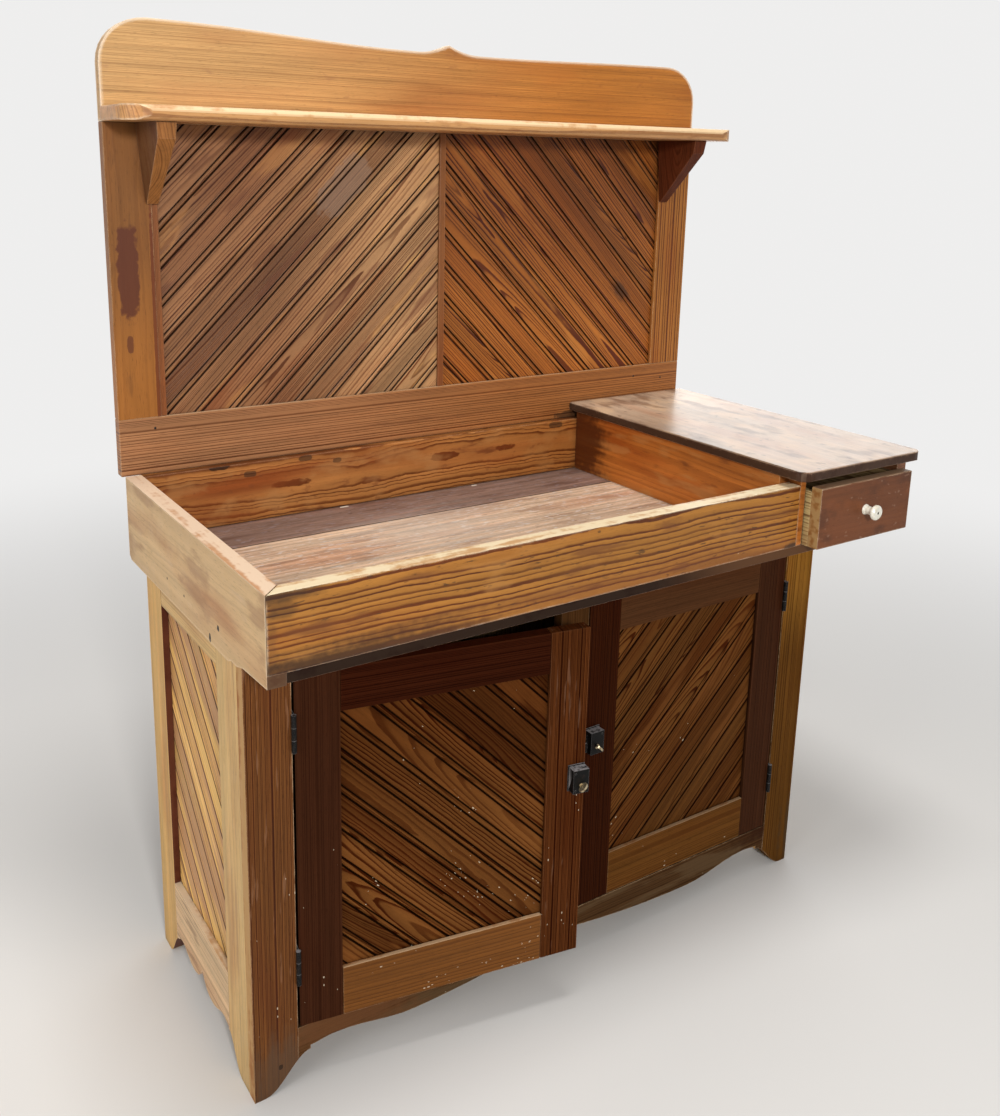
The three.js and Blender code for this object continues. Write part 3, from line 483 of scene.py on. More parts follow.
def wood(node, kind, mean, *, contrast=1.0, spacing=0.005, pith=(0.0, -0.03), wave=0.012, long=1.0,
         seed=None, pale=(1.38, 1.6, 1.7), dark=(0.34, 0.21, 0.13), hue=0.25, broad=0.35, fibre=0.4,
         vary=0.3, figure=0.2, depth=0.028, spread=0.13, wear=0.5, worn=CREAM, edge=0.0028,
         even=False, chips=None, corner_shade=0.6, specks=0.0, shade=None, smears=(), marks=(), faces=(),
         rough=0.5, spec=0.25, coat=0.0, bump=0.5):
    """Pine with growth rings cut by the piece's own faces, worn edges, painted shade in corners and
    marks.

    kind: where the grain runs, as KINDS says.
    mean: the wood's colour, which pale and dark multiply in early and late wood.
    contrast, spacing, pith, wave, long: how dark the lines are, how far apart, where the pith lies
    from the middle of the front face, how far the lines sway, and how short their waves are.
    hue, broad, fibre: how much the colour, the brightness and the fine streaks change.
    vary, figure, depth, spread: how much a panel's boards differ in tone, and how far their rings
    slope, lie deep and lie aside.
    wear, worn, edge, even: how much the edges are worn, to which colour and how wide, and whether
    without breaks.
    chips, corner_shade, specks: the colour of chips on edges, how dark the painted shade in corners
    is, and the drops of paint.
    shade: (axis, from, to, factors, factors), a slow change of colour across the object's frame.
    smears: (colour, stretch, low, high, strength), streaks or patches of another colour.
    marks: (place in the cabinet's mm, half length, half width, colour, strength), and for a soft and
    streaky one a sixth value, its softness.
    faces: (direction, colour, strength) for the faces that look that way, and where it changes along x
    a fourth value (from, to, colour).
    rough, spec, coat, bump: the roughness, the gloss, a coat on the upward faces, and the relief."""
    rows, origin = local_frame(node, kind)
    if seed is None:
        seed = sum(ord(c) * (i + 3) for i, c in enumerate(node)) % 97 / 7.0
    material, g, shader = new_material(node)
    coordinates = g.add("TexCoord").outputs
    place, normal = coordinates["Object"], coordinates["Normal"]
    turned = {"Vector": place, "Location": -origin, "Rotation": rows.to_euler("XYZ")}
    local = g.add("Mapping", turned, vector_type="POINT").outputs[0]
    grain_place, groove, board = local, None, None
    settings = dict(Pith_Y=pith[0], Pith_Z=pith[1], Spacing=spacing, Slope=0.0)
    if node in PANELS:
        grain_place, groove, board, settings = panel_boards(
            g, node, local, origin, seed, spacing, figure, depth, spread)
    rings = call(g, RINGS, Vector=grain_place, Seed=seed, Wave=wave, Long=long, **settings)
    late = g.math("MINIMUM", g.mul(rings["Late"], contrast), 1.0)
    tone = rings["Tone"]
    patchy = g.noise(local, 30.0, 4.0, 0.65)

    colour = pine_colour(g, late, rings, board, mean, pale, dark, hue, broad, fibre, vary)
    colour = with_smears(g, colour, grain_place, seed, smears)
    if shade:
        axis, low, high, first, last = shade
        ramp = g.mix(g.step(g.split(place)[axis], low, high), first, last)
        colour = g.mix(1.0, colour, ramp, "MULTIPLY")
    if wear:
        share = g.mul(edge_mask(g, edge), wear)
        if not even:
            share = g.mul(share, g.step(patchy, 0.32, 0.6))
        colour = g.mix(share, colour, worn)
    # Painted shade: darker deep in corners and between parts, where the occlusion node finds little
    # open space
    if corner_shade:
        share = g.mul(g.step(openness(g, CORNER_REACH), 0.72, 0.15), corner_shade)
        colour = g.mix(share, colour, CORNER_SHADE)
    if marks:
        colour = with_marks(g, colour, local, normal, tone, rows, origin, marks)
    colour = with_faces(g, colour, place, normal, patchy, tone, faces)
    if chips:
        share = g.mul(edge_mask(g, edge), g.step(g.noise(local, 120.0, 3.0), 0.55, 0.62))
        colour = g.mix(g.mul(share, 0.8), colour, chips)
    # The grooves between beaded boards are painted dark: painted shade
    if groove is not None:
        colour = g.mix(g.mul(groove, 0.9), colour, times(mean, GROOVE_SHADE))
    if specks:
        colour = with_specks(g, colour, local, place, specks)
    g.link(colour, shader, "Base Color")

    shine = g.plus(g.swing(patchy, 0.3), rough)
    g.link(g.minus(shine, g.mul(late, 0.1), clamp=True), shader, "Roughness")
    shader.inputs["Specular IOR Level"].default_value = spec
    if coat:
        upward = g.step(g.dot(normal, UP), 0.6, 0.9)
        g.link(g.mul(upward, coat), shader, "Coat Weight")
        shader.inputs["Coat Roughness"].default_value = 0.3
    height = g.plus(g.mul(late, 0.6), g.mul(rings["Fibre"], 0.4))
    height = g.plus(height, g.mul(g.noise(local, 14.0, 2.0), 1.8))
    relief = g.add("Bump", {"Height": height, "Distance": 0.0006, "Strength": bump}).outputs[0]
    g.link(relief, shader, "Normal")
    dress(nodes[node], material)


# Planes that marks lie on, in the cabinet's millimetres
SPLASH_Y, PANEL_Y, BACK_Y, TRAY_Y, TRAY_X, FLOOR_Z = 469, 476, 455, -130, -6, 697

# Nails in the tray's left board: y, z, the head's radius, and the stain's half length and half width
TRAY_NAILS = (
    (64, 697, 0.0028, 0.004, 0.004),
    (97, 671, 0.0028, 0.004, 0.006),
    (200, 694, 0.0016, 0.002, 0.002),
    (275, 695, 0.0016, 0.002, 0.002),
)
# Nails in the backsplash's bottom rail: x and z
SPLASH_NAILS = ((45, 874), (1120, 861), (1045, 870))
SPLASH_NAIL_RADIUS, SPLASH_NAIL_STAIN = 0.0016, 0.002

# Rings as straight lines, or as the wide figure in the middle of a board
STRAIGHT = dict(pith=(0.16, -0.02), wave=0.006)
FLAT = dict(pith=(0.0, -0.022), wave=0.02)
# Dull wood, and the doors' dull stiles and rails with little wear
DIM = dict(spec=0.01)
DOOR_FRAME = dict(wear=0.12, worn=(0.2, 0.08, 0.03), **DIM)
SIDE_TAN = (0.46, 0.26, 0.098)
# Raw wood darkened as painted shade, for the drawer's inside
RAW_IN_PAINTED_SHADE = (0.17, 0.095, 0.038)

# Backsplash
wood("splash_crest", "front_h", (0.36, 0.158, 0.045), contrast=0.4, spacing=0.0035,
     pith=(-0.2, -0.03), wave=0.006, broad=0.25, fibre=0.5, rough=0.42,
     # The top edge and top face are pale from wear and from a painted highlight of the light from
     # above
     wear=1.0, worn=(0.92, 0.80, 0.64), edge=0.009, even=True, faces=((UP, PALE_CREAM, 0.8),),
     shade=(X_AXIS, -0.55, 0.35, (1.1, 1.28, 1.75), (0.88, 0.65, 0.36)),
     smears=(((0.2, 0.075, 0.04), (30, 60, 60), 0.62, 0.74, 0.25),
             ((0.46, 0.2, 0.06), (5, 12, 12), 0.5, 0.66, 0.35)))
wood("splash_stile_left", "front_v", (0.26, 0.092, 0.022), contrast=0.22, spacing=0.012, **FLAT,
     rough=0.45, wear=0.6, fibre=0.2, hue=0.3,
     # Darker toward the top, under the shelf: painted shadow
     shade=(Z_AXIS, 0.95, 1.2, (1.05, 0.96, 0.75), (0.68, 0.66, 0.66)),
     smears=(((0.12, 0.05, 0.02), (16, 60, 60), 0.6, 0.75, 0.35),),
     marks=(((15, SPLASH_Y, 1122), 0.072, 0.0165, STAIN, 0.9),
            ((13, SPLASH_Y, 1010), 0.013, 0.005, STAIN, 0.75),
            ((53, SPLASH_Y, 1000), 0.23, 0.0030, (0.12, 0.02, 0.008), 0.75)))
wood("splash_strip_left", "front_v", (0.22, 0.065, 0.018), contrast=0.7, spacing=0.004, **STRAIGHT,
     wear=0.3)
wood("splash_strip_centre", "front_v", (0.22, 0.07, 0.02), contrast=0.5, spacing=0.003, **STRAIGHT,
     wear=0.3)
wood("splash_stile_right", "front_v", (0.31, 0.105, 0.020), contrast=1.4, spacing=0.0075,
     pith=(0.12, -0.02), wave=0.006, wear=0.8)
wood("splash_bottom_rail", "front_h", (0.25, 0.096, 0.031), contrast=1.2, spacing=0.0048,
     pith=(0.14, -0.01), wave=0.004, broad=0.3, hue=0.1, pale=(1.6, 1.85, 2.0),
     dark=(0.50, 0.40, 0.32), faces=((UP, CREAM, 0.6),),
     shade=(X_AXIS, -0.4, 0.3, (1.0, 1.05, 1.3), (1.0, 0.86, 0.68)),
     smears=(((0.1, 0.03, 0.012), (5, 60, 60), 0.6, 0.7, 0.3),),
     marks=(*(((x, SPLASH_Y, z), SPLASH_NAIL_STAIN, SPLASH_NAIL_STAIN, HOLE, 0.9)
              for x, z in SPLASH_NAILS),
            ((900, SPLASH_Y, 806), 0.05, 0.008, GRIME, 0.7)))
wood("splash_panel_left", "rise_right", (0.225, 0.095, 0.041), contrast=1.1, spacing=0.0042,
     wave=0.010, long=1.2, wear=0.2, vary=0.22, hue=0.4, rough=0.45, figure=0.05, broad=0.5,
     # Lighter toward the right: painted light
     depth=0.02, shade=(X_AXIS, -0.36, -0.06, (1.0, 0.96, 0.92), (1.75, 2.0, 2.0)),
     smears=(((0.48, 0.23, 0.08), (4, 26, 26), 0.56, 0.64, 0.55),
             ((0.13, 0.045, 0.022), (5, 30, 30), 0.6, 0.66, 0.55)),
     marks=(((387, PANEL_Y, 1255), 0.06, 0.03, (0.32, 0.22, 0.16), 0.45),))
wood("splash_panel_right", "rise_left", (0.215, 0.062, 0.0115), contrast=1.5, spacing=0.0042,
     wave=0.010, long=1.1, wear=0.2, vary=0.22, hue=0.2, rough=0.45, figure=0.07, broad=0.3,
     depth=0.016, seed=4.3, spread=0.09, dark=(0.3, 0.17, 0.1),
     # Lighter toward the bottom and darker at the top under the shelf: painted shadow
     shade=(Z_AXIS, 1.25, 0.98, (0.98, 0.92, 0.85), (1.6, 1.65, 1.5)),
     smears=(((0.44, 0.17, 0.04), (4, 30, 30), 0.56, 0.64, 0.4),),
     marks=(((1004, PANEL_Y, 1050), 0.026, 0.012, GRIME, 0.75, 0.5),))
wood("shelf", "top_x", (0.42, 0.19, 0.07), contrast=0.6, spacing=0.004, pith=(0.1, -0.04),
     wave=0.006, rough=0.35, wear=0.9, worn=PALE_CREAM, edge=0.006,
     # The upper faces of the rounded front edge are painted pale cream: a painted highlight of the
     # light from above
     faces=((NOSE, (0.80, 0.58, 0.34), 0.95),),
     smears=(((0.25, 0.09, 0.03), (14, 60, 60), 0.58, 0.7, 0.6),),
     marks=(((15, 380, 1350), 0.045, 0.05, (0.2, 0.12, 0.08), 0.5),))
wood("shelf_bracket_left", "front_v", (0.24, 0.085, 0.022), contrast=0.6, spacing=0.004,
     # The left face is painted dark: painted shade on the side away from the light
     pith=(0.05, -0.05), wave=0.006, faces=((LEFT, (0.11, 0.045, 0.016), 0.9),))
wood("shelf_bracket_right", "front_v", (0.082, 0.018, 0.006), contrast=0.5, spacing=0.004,
     pith=(0.05, -0.05), wave=0.006, worn=(0.35, 0.15, 0.07), spec=0.08)

# Tray and drawer case
wood("tray_side_board", "side_h", (0.46, 0.265, 0.125), contrast=0.2, spacing=0.012, **FLAT,
     wear=0.8, broad=0.3, fibre=0.2, hue=0.35, worn=PALE_CREAM, corner_shade=0.3, edge=0.005,
     # The top face is pale cream from wear and from a painted highlight of the light from above
     faces=((UP, (0.80, 0.60, 0.43), 1.0), (FRONT, (0.08, 0.035, 0.014), 0.95)),
     smears=(((0.30, 0.15, 0.07), (9, 22, 22), 0.54, 0.66, 0.5),
             ((0.6, 0.42, 0.26), (7, 30, 30), 0.6, 0.7, 0.4)),
     marks=tuple(((TRAY_X, y, z), half_u, half_v, HOLE, 0.9)
                 for y, z, _, half_u, half_v in TRAY_NAILS))
wood("tray_front_board", "front_h", (0.30, 0.109, 0.018), contrast=1.35, spacing=0.0088,
     pith=(0.06, -0.02), wave=0.02, long=1.8, wear=0.9, worn=PALE_CREAM, edge=0.004, broad=0.5,
     # The top face is pale cream from wear and from a painted highlight of the light from above
     corner_shade=0.4, specks=0.03, chips=(0.3, 0.17, 0.08), faces=((UP, (0.82, 0.68, 0.45), 1.0),),
     smears=(((0.15, 0.05, 0.015), (7, 40, 40), 0.55, 0.66, 0.6),
             ((0.05, 0.025, 0.012), (50, 200, 200), 0.64, 0.72, 0.7),
             ((0.45, 0.21, 0.06), (9, 26, 26), 0.54, 0.68, 0.4)),
     marks=(((-4, TRAY_Y, 745), 0.010, 0.060, (0.07, 0.03, 0.014), 0.3, 0.5),
            ((20, TRAY_Y, 794), 0.05, 0.006, GRIME, 0.7, 0.5),
            ((16, TRAY_Y, 775), 0.014, 0.014, GRIME, 0.5, 0.6),
            ((90, TRAY_Y, 690), 0.22, 0.022, (0.035, 0.014, 0.006), 0.9, 0.5),
            ((420, TRAY_Y, 684), 0.22, 0.009, GRIME, 0.85, 0.4),
            ((560, TRAY_Y, 702), 0.3, 0.02, (0.16, 0.045, 0.012), 0.5, 0.7),
            ((780, TRAY_Y, 690), 0.02, 0.006, GRIME, 0.7),
            ((910, TRAY_Y, 692), 0.022, 0.014, GRIME, 0.85, 0.4)))
wood("tray_back_board", "front_h", (0.36, 0.132, 0.034), contrast=1.15, spacing=0.0088,
     pith=(0.01, -0.02), wave=0.030, long=2.4, hue=0.45,
     shade=(X_AXIS, -0.1, 0.3, (0.9, 0.86, 0.82), (0.78, 0.68, 0.55)),
     smears=(((0.16, 0.04, 0.012), (7, 30, 30), 0.6, 0.68, 0.7),
             ((0.5, 0.25, 0.09), (12, 22, 22), 0.52, 0.66, 0.45),
             ((0.2, 0.06, 0.02), (50, 70, 70), 0.6, 0.7, 0.4)),
     marks=(((143, BACK_Y, 800), 0.02, 0.006, HOLE, 0.8),
            ((196, BACK_Y, 780), 0.01, 0.005, GRIME, 0.7),
            ((297, BACK_Y, 795), 0.012, 0.005, GRIME, 0.7),
            ((837, BACK_Y, 792), 0.016, 0.006, GRIME, 0.7),
            ((357, BACK_Y, 783), 0.008, 0.004, GRIME, 0.6)))
wood("tray_floor", "top_x", (0.44, 0.245, 0.145), contrast=0.4, spacing=0.006, **STRAIGHT,
     rough=0.6, worn=(0.05, 0.035, 0.025), broad=0.6, fibre=0.8, hue=0.3, spec=0.12,
     # The floor's front edge is painted near black at the left as painted shadow below the front
     # board, turning brown toward the right
     faces=((FRONT, (0.020, 0.009, 0.004), 1.0, (0.0, 0.24, (0.10, 0.044, 0.018))),),
     # Darker behind the seam under the shelf's front edge, lighter in front: painted shadow of the
     # shelf
     shade=(Y_AXIS, 0.168, 0.182, (1.12, 1.26, 1.4), (0.45, 0.44, 0.54)),
     smears=(((0.24, 0.11, 0.06), (10, 45, 45), 0.54, 0.68, 0.5),
             ((0.74, 0.68, 0.62), (60, 190, 190), 0.56, 0.68, 0.35),
             ((0.12, 0.05, 0.03), (60, 220, 220), 0.62, 0.72, 0.5)),
     marks=(((430, 272, FLOOR_Z), 0.11, 0.07, (0.60, 0.54, 0.48), 0.35, 0.9),
            ((470, 342, FLOOR_Z), 0.6, 0.0016, HOLE, 0.9),
            ((470, -50, FLOOR_Z), 0.6, 0.0014, HOLE, 0.85),
            ((368, 450, FLOOR_Z), 0.009, 0.0030, (0.8, 0.72, 0.6), 0.9),
            ((642, 449, FLOOR_Z), 0.006, 0.0028, (0.8, 0.72, 0.6), 0.9)))
wood("tray_divider", "side_h", (0.33, 0.092, 0.015), contrast=0.4, spacing=0.010, **FLAT, rough=0.4,
     broad=0.6, hue=0.5,
     smears=(((0.45, 0.2, 0.06), (8, 40, 40), 0.55, 0.66, 0.5),
             ((0.08, 0.02, 0.008), (9, 30, 30), 0.6, 0.7, 0.6)),
     # A dark patch at the back end: painted shadow
     marks=(((898, 440, 750), 0.07, 0.09, (0.06, 0.012, 0.003), 0.9, 0.4),))
wood("case_side", "side_h", (0.16, 0.055, 0.022), contrast=0.5, **FLAT, rough=0.45)
wood("case_top", "top_y", (0.29, 0.175, 0.112), contrast=0.2, spacing=0.009, **FLAT, rough=0.4,
     wear=0.6, worn=(0.12, 0.05, 0.025), edge=0.006, even=True, chips=(0.5, 0.3, 0.2), broad=0.9,
     fibre=0.3, coat=0.5, spec=0.12, bump=1.0,
     shade=(Y_AXIS, 0.02, 0.25, (1, 1, 1), (1.65, 1.8, 1.9)),
     faces=((FRONT, (0.035, 0.013, 0.006), 0.95), (LEFT, (0.035, 0.013, 0.006), 0.95)),
     smears=(((0.52, 0.34, 0.2), (11, 16, 16), 0.5, 0.64, 0.6),
             ((0.09, 0.035, 0.018), (10, 22, 22), 0.52, 0.66, 0.6),
             ((0.07, 0.03, 0.015), (40, 60, 60), 0.6, 0.7, 0.5)))
wood("drawer_front", "front_h", (0.125, 0.037, 0.0135), contrast=0.15, spacing=0.009, **FLAT,
     rough=0.45, wear=1.0, worn=(0.6, 0.45, 0.3), edge=0.004, broad=0.6, spec=0.15, fibre=0.2,
     faces=((UP, (0.4, 0.26, 0.16), 0.7), (LEFT, (0.36, 0.22, 0.09), 1.0)),
     smears=(((0.22, 0.07, 0.025), (14, 20, 20), 0.52, 0.66, 0.55),
             ((0.06, 0.024, 0.014), (12, 18, 18), 0.52, 0.66, 0.55),
             ((0.3, 0.17, 0.11), (70, 120, 120), 0.64, 0.72, 0.5)))
# Its marks are the lines of the joint with the drawer's front
wood("drawer_side_left", "side_h", (0.38, 0.25, 0.105), contrast=0.9, spacing=0.007, **STRAIGHT,
     rough=0.7, marks=tuple(((905, -135, z), 0.018, 0.0013, HOLE, 0.85) for z in (789, 771, 750, 733)))
# The drawer's inside is painted dark: painted shade
wood("drawer_side_right", "side_h", RAW_IN_PAINTED_SHADE, contrast=0.9, spacing=0.007, **STRAIGHT, rough=0.7)
wood("drawer_back", "front_h", RAW_IN_PAINTED_SHADE, contrast=0.6, **STRAIGHT, rough=0.7)
wood("drawer_bottom", "top_x", RAW_IN_PAINTED_SHADE, contrast=0.6, **STRAIGHT, rough=0.7)

# Base
# The front pieces' colours are darker than their wood, partly as painted shade under the tray
wood("face_stile_left", "front_v", (0.096, 0.027, 0.0054), contrast=1.4, spacing=0.0027,
     pith=(0.14, -0.02), wave=0.005, pale=(1.7, 2.2, 2.5), dark=(0.5, 0.36, 0.26), specks=0.10,
     wear=0.6, spec=0.1, faces=((LEFT, SIDE_TAN, 1.0),),
     smears=(((0.25, 0.12, 0.06), (12, 120, 120), 0.62, 0.7, 0.5),),
     marks=(((45, 0, 20), 0.06, 0.06, (0.105, 0.057, 0.031), 0.75, 0.6),
            ((40, 0, 42), 0.004, 0.003, HOLE, 0.7)))
wood("face_stile_right", "front_v", (0.087, 0.030, 0.0048), contrast=0.9, spacing=0.006,
     pith=(0.1, -0.02), wave=0.008, **DIM,
     shade=(Z_AXIS, 0.42, 0.60, (1, 1, 1), (2.15, 2.4, 2.2)),
     marks=(((1138, 0, 60), 0.06, 0.06, (0.062, 0.040, 0.020), 0.8, 0.5),
            ((1140, 0, 90), 0.008, 0.003, HOLE, 0.8)))
wood("face_stile_centre", "front_v", (0.05, 0.018, 0.005), contrast=0.6, **STRAIGHT, **DIM)
wood("face_top_rail", "front_h", (0.04, 0.012, 0.005), contrast=0.5, **STRAIGHT, **DIM)
wood("face_apron", "front_h", (0.060, 0.025, 0.009), contrast=0.8, pith=(0.1, -0.03), specks=0.08,
     faces=((LEFT, SIDE_TAN, 1.0),), **DIM,
     smears=(((0.105, 0.062, 0.030), (6, 40, 40), 0.48, 0.62, 0.7),),
     marks=(((150, 0, 100), 0.11, 0.06, (0.14, 0.058, 0.024), 0.8, 0.6),
            ((1050, 0, 115), 0.10, 0.05, (0.032, 0.010, 0.004), 0.9, 0.5)))
wood("side_left_front_stile", "side_v", SIDE_TAN, contrast=0.35, spacing=0.006, pith=(0.08, -0.03),
     smears=(((0.32, 0.16, 0.06), (5, 50, 50), 0.56, 0.68, 0.5),))
wood("side_left_rear_stile", "side_v", (0.46, 0.235, 0.068), contrast=0.25, spacing=0.006,
     **STRAIGHT, faces=((FRONT, (0.10, 0.026, 0.010), 1.0),))
wood("side_left_top_rail", "side_h", SIDE_TAN, contrast=0.4, **STRAIGHT, wear=0.4)
wood("side_left_apron", "side_h", (0.53, 0.315, 0.165), contrast=0.7, spacing=0.006, **STRAIGHT,
     # The top face is pale cream from wear and from a painted highlight of the light from above
     wear=0.9, worn=PALE_CREAM, faces=((UP, PALE_CREAM, 0.8),),
     smears=(((0.2, 0.1, 0.05), (9, 60, 60), 0.6, 0.7, 0.6),))
wood("side_left_panel", "side_rise", (0.56, 0.285, 0.085), contrast=0.8, spacing=0.0065, wave=0.010,
     long=1.2, wear=0.0, hue=0.15, figure=0.06, specks=0.05,
     smears=(((0.45, 0.22, 0.105), (2, 18, 18), 0.46, 0.54, 0.7),
             ((0.80, 0.48, 0.14), (2, 18, 18), 0.55, 0.6, 0.7),
             ((0.78, 0.66, 0.5), (30, 160, 160), 0.68, 0.76, 0.5)))
wood("side_right", "side_v", (0.36, 0.20, 0.075), contrast=0.6, spacing=0.006, **STRAIGHT)
wood("back_boards", "front_v", (0.25, 0.14, 0.06), contrast=0.6, spacing=0.007, **FLAT, rough=0.85)
wood("base_floor", "top_x", (0.25, 0.14, 0.06), contrast=0.6, spacing=0.007, **STRAIGHT, rough=0.85)

# Doors
# The doors' colours are darker than their wood, partly as painted shade under the tray, most on the
# top rails
wood("left_door_hinge_stile", "front_v", (0.033, 0.0092, 0.0036), contrast=0.6, spacing=0.004,
     **STRAIGHT, **DOOR_FRAME, specks=0.06)
wood("left_door_latch_stile", "front_v", (0.044, 0.0104, 0.0022), contrast=1.6, spacing=0.0029,
     pith=(0.12, -0.02), wave=0.004, pale=(2.2, 2.8, 3.4), dark=(0.45, 0.3, 0.2), specks=0.22,
     wear=0.25, worn=(0.3, 0.14, 0.07), **DIM,
     smears=(((0.16, 0.08, 0.045), (12, 110, 110), 0.62, 0.7, 0.5),))
wood("left_door_top_rail", "front_h", (0.024, 0.0042, 0.0012), contrast=1.4, spacing=0.0040,
     **STRAIGHT, **DOOR_FRAME, pale=(1.5, 1.9, 2.2), dark=(0.55, 0.38, 0.24))
wood("left_door_bottom_rail", "front_h", (0.125, 0.038, 0.006), contrast=0.6, spacing=0.006,
     pith=(0.07, -0.03), wave=0.01, specks=0.34, wear=0.3, spec=0.1, faces=((UP, CREAM, 0.6),))
wood("left_door_panel", "rise_left", (0.088, 0.028, 0.0065), contrast=1.25, spacing=0.0060,
     wave=0.016, long=1.2, specks=0.45, wear=0.0, **DIM, figure=0.12, depth=0.014, seed=2.6,
     spread=0.07, dark=(0.4, 0.25, 0.16),
     smears=(((0.20, 0.072, 0.018), (4, 24, 24), 0.55, 0.64, 0.5),),
     # Darker toward the top, under the tray: painted shadow
     shade=(Z_AXIS, 0.55, 0.3, (0.7, 0.62, 0.55), (1.15, 1.15, 1.15)))
wood("right_door_hinge_stile", "front_v", (0.038, 0.0115, 0.0045), contrast=0.8, spacing=0.004,
     **STRAIGHT, **DOOR_FRAME)
wood("right_door_latch_stile", "front_v", (0.027, 0.0055, 0.0014), spacing=0.004, **STRAIGHT,
     **DOOR_FRAME)
wood("right_door_top_rail", "front_h", (0.056, 0.0195, 0.007), contrast=0.35, spacing=0.004,
     **STRAIGHT, **DOOR_FRAME)
wood("right_door_bottom_rail", "front_h", (0.093, 0.031, 0.006), contrast=0.5, pith=(0.08, -0.03),
     wave=0.01, specks=0.08, wear=0.2, **DIM, faces=((UP, CREAM, 0.4),))
wood("right_door_panel", "rise_right", (0.088, 0.029, 0.0065), contrast=1.2, spacing=0.0042,
     wave=0.016, long=1.2, specks=0.10, vary=0.25, wear=0.0, **DIM, figure=0.13, depth=0.012,
     seed=7.9, spread=0.07, dark=(0.4, 0.25, 0.16),
     smears=(((0.17, 0.062, 0.016), (4, 24, 24), 0.56, 0.66, 0.5),))


def iron():
    """Black iron with rusty patches, dust and a painted highlight on top, and painted highlights on
    the edges.
    """
    material, g, shader = new_material("black_iron")
    coordinates = g.add("TexCoord").outputs
    patchy = g.noise(coordinates["Object"], 160.0, 4.0, 0.6)
    base = g.mix(g.step(patchy, 0.5, 0.75), (0.003, 0.003, 0.003), (0.014, 0.009, 0.007))
    # Dust on the upward faces, made brighter as a painted highlight
    dust_and_highlight = g.mul(g.step(g.dot(coordinates["Normal"], UP), 0.5, 0.9), g.step(patchy, 0.3, 0.55))
    base = g.mix(g.mul(dust_and_highlight, 0.85), base, (0.30, 0.29, 0.30))
    # Pale edges: a painted highlight
    base = g.mix(g.mul(edge_mask(g, 0.001), 0.7), base, (0.2, 0.19, 0.19))
    g.link(base, shader, "Base Color")
    g.link(g.plus(g.swing(patchy, 0.4), 0.5), shader, "Roughness")
    shader.inputs["Specular IOR Level"].default_value = 0.12
    relief = g.add("Bump", {"Height": patchy, "Distance": 0.0004, "Strength": 0.4}).outputs[0]
    g.link(relief, shader, "Normal")
    return material


def brass():
    """Worn brass with dull brown patches."""
    material, g, shader = new_material("worn_brass")
    patchy = g.noise(g.add("TexCoord").outputs["Object"], 220.0, 4.0, 0.6)
    base = g.mix(g.step(patchy, 0.4, 0.7), (0.52, 0.43, 0.28), (0.16, 0.11, 0.06))
    g.link(base, shader, "Base Color")
    g.link(g.plus(g.mul(patchy, 0.3), 0.25), shader, "Roughness")
    shader.inputs["Metallic"].default_value = 0.9
    return material


def ceramic():
    """White glaze, a little yellowed, with painted shade where the knob meets its screw and the
    drawer.
    """
    material, g, shader = new_material("glazed_ceramic")
    patchy = g.noise(g.add("TexCoord").outputs["Object"], 90.0, 4.0, 0.6)
    base = g.mix(g.step(patchy, 0.4, 0.75), (0.79, 0.77, 0.68), (0.66, 0.60, 0.46))
    # Painted shade in the narrow gaps, where little is open
    base = g.mix(g.step(openness(g, 0.006), 0.8, 0.2), base, (0.06, 0.04, 0.02))
    g.link(base, shader, "Base Color")
    g.link(g.plus(g.mul(patchy, 0.2), 0.12), shader, "Roughness")
    return material


IRON, BRASS, CERAMIC = iron(), brass(), ceramic()
for name, obj in nodes.items():
    if name.endswith(("_leaf", "catch_case")) or name == "catch_keeper":
        dress(obj, IRON)
    elif name.endswith("_turn"):
        dress(obj, BRASS)
    elif name == "drawer_knob":
        dress(obj, CERAMIC)

# ---- Small trim: the knob's screw, catch screws and nail heads

HEAD_SIDES, HEAD_STEPS = 20, 4
NAIL_HEIGHT = 0.0004
KNOB_SCREW_SUNK = 0.0009  # metres behind the front of the knob
CATCH_SCREW_IN, CATCH_SCREW_UP = 0.006, 0.007  # metres from the edges of the catch's case


def screw_head(name, place, out, radius, height, body):
    """A low domed head whose rim lies at place and which looks along out."""
    turn = Vector(out).to_track_quat("Z", "X").to_matrix()
    mesh = bmesh.new()
    rings = []
    for step in range(HEAD_STEPS):
        angle = math.pi / 2 * step / HEAD_STEPS
        reach, up = radius * math.cos(angle), height * math.sin(angle)
        turns = [2 * math.pi * i / HEAD_SIDES for i in range(HEAD_SIDES)]
        rings.append([(reach * math.cos(t), reach * math.sin(t), up) for t in turns])
    rings.insert(0, [(x, y, -height) for x, y, _ in rings[0]])
    rows = [[mesh.verts.new(Vector(place) + turn @ Vector(p)) for p in ring] for ring in rings]
    top = mesh.verts.new(Vector(place) + turn @ Vector((0, 0, height)))
    for low, high in zip(rows, rows[1:]):
        for i in range(HEAD_SIDES):
            after = (i + 1) % HEAD_SIDES
            mesh.faces.new((low[i], low[after], high[after], high[i]))
    for i in range(HEAD_SIDES):
        mesh.faces.new((rows[-1][i], rows[-1][(i + 1) % HEAD_SIDES], top))
    mesh.faces.new(list(reversed(rows[0])))
    data = bpy.data.meshes.new(name)
    mesh.to_mesh(data)
    mesh.free()
    for face in data.polygons:
        face.use_smooth = True
    obj = bpy.data.objects.new(name, data)
    bpy.context.scene.collection.objects.link(obj)
    data.materials.append(IRON)
    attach(obj, body)


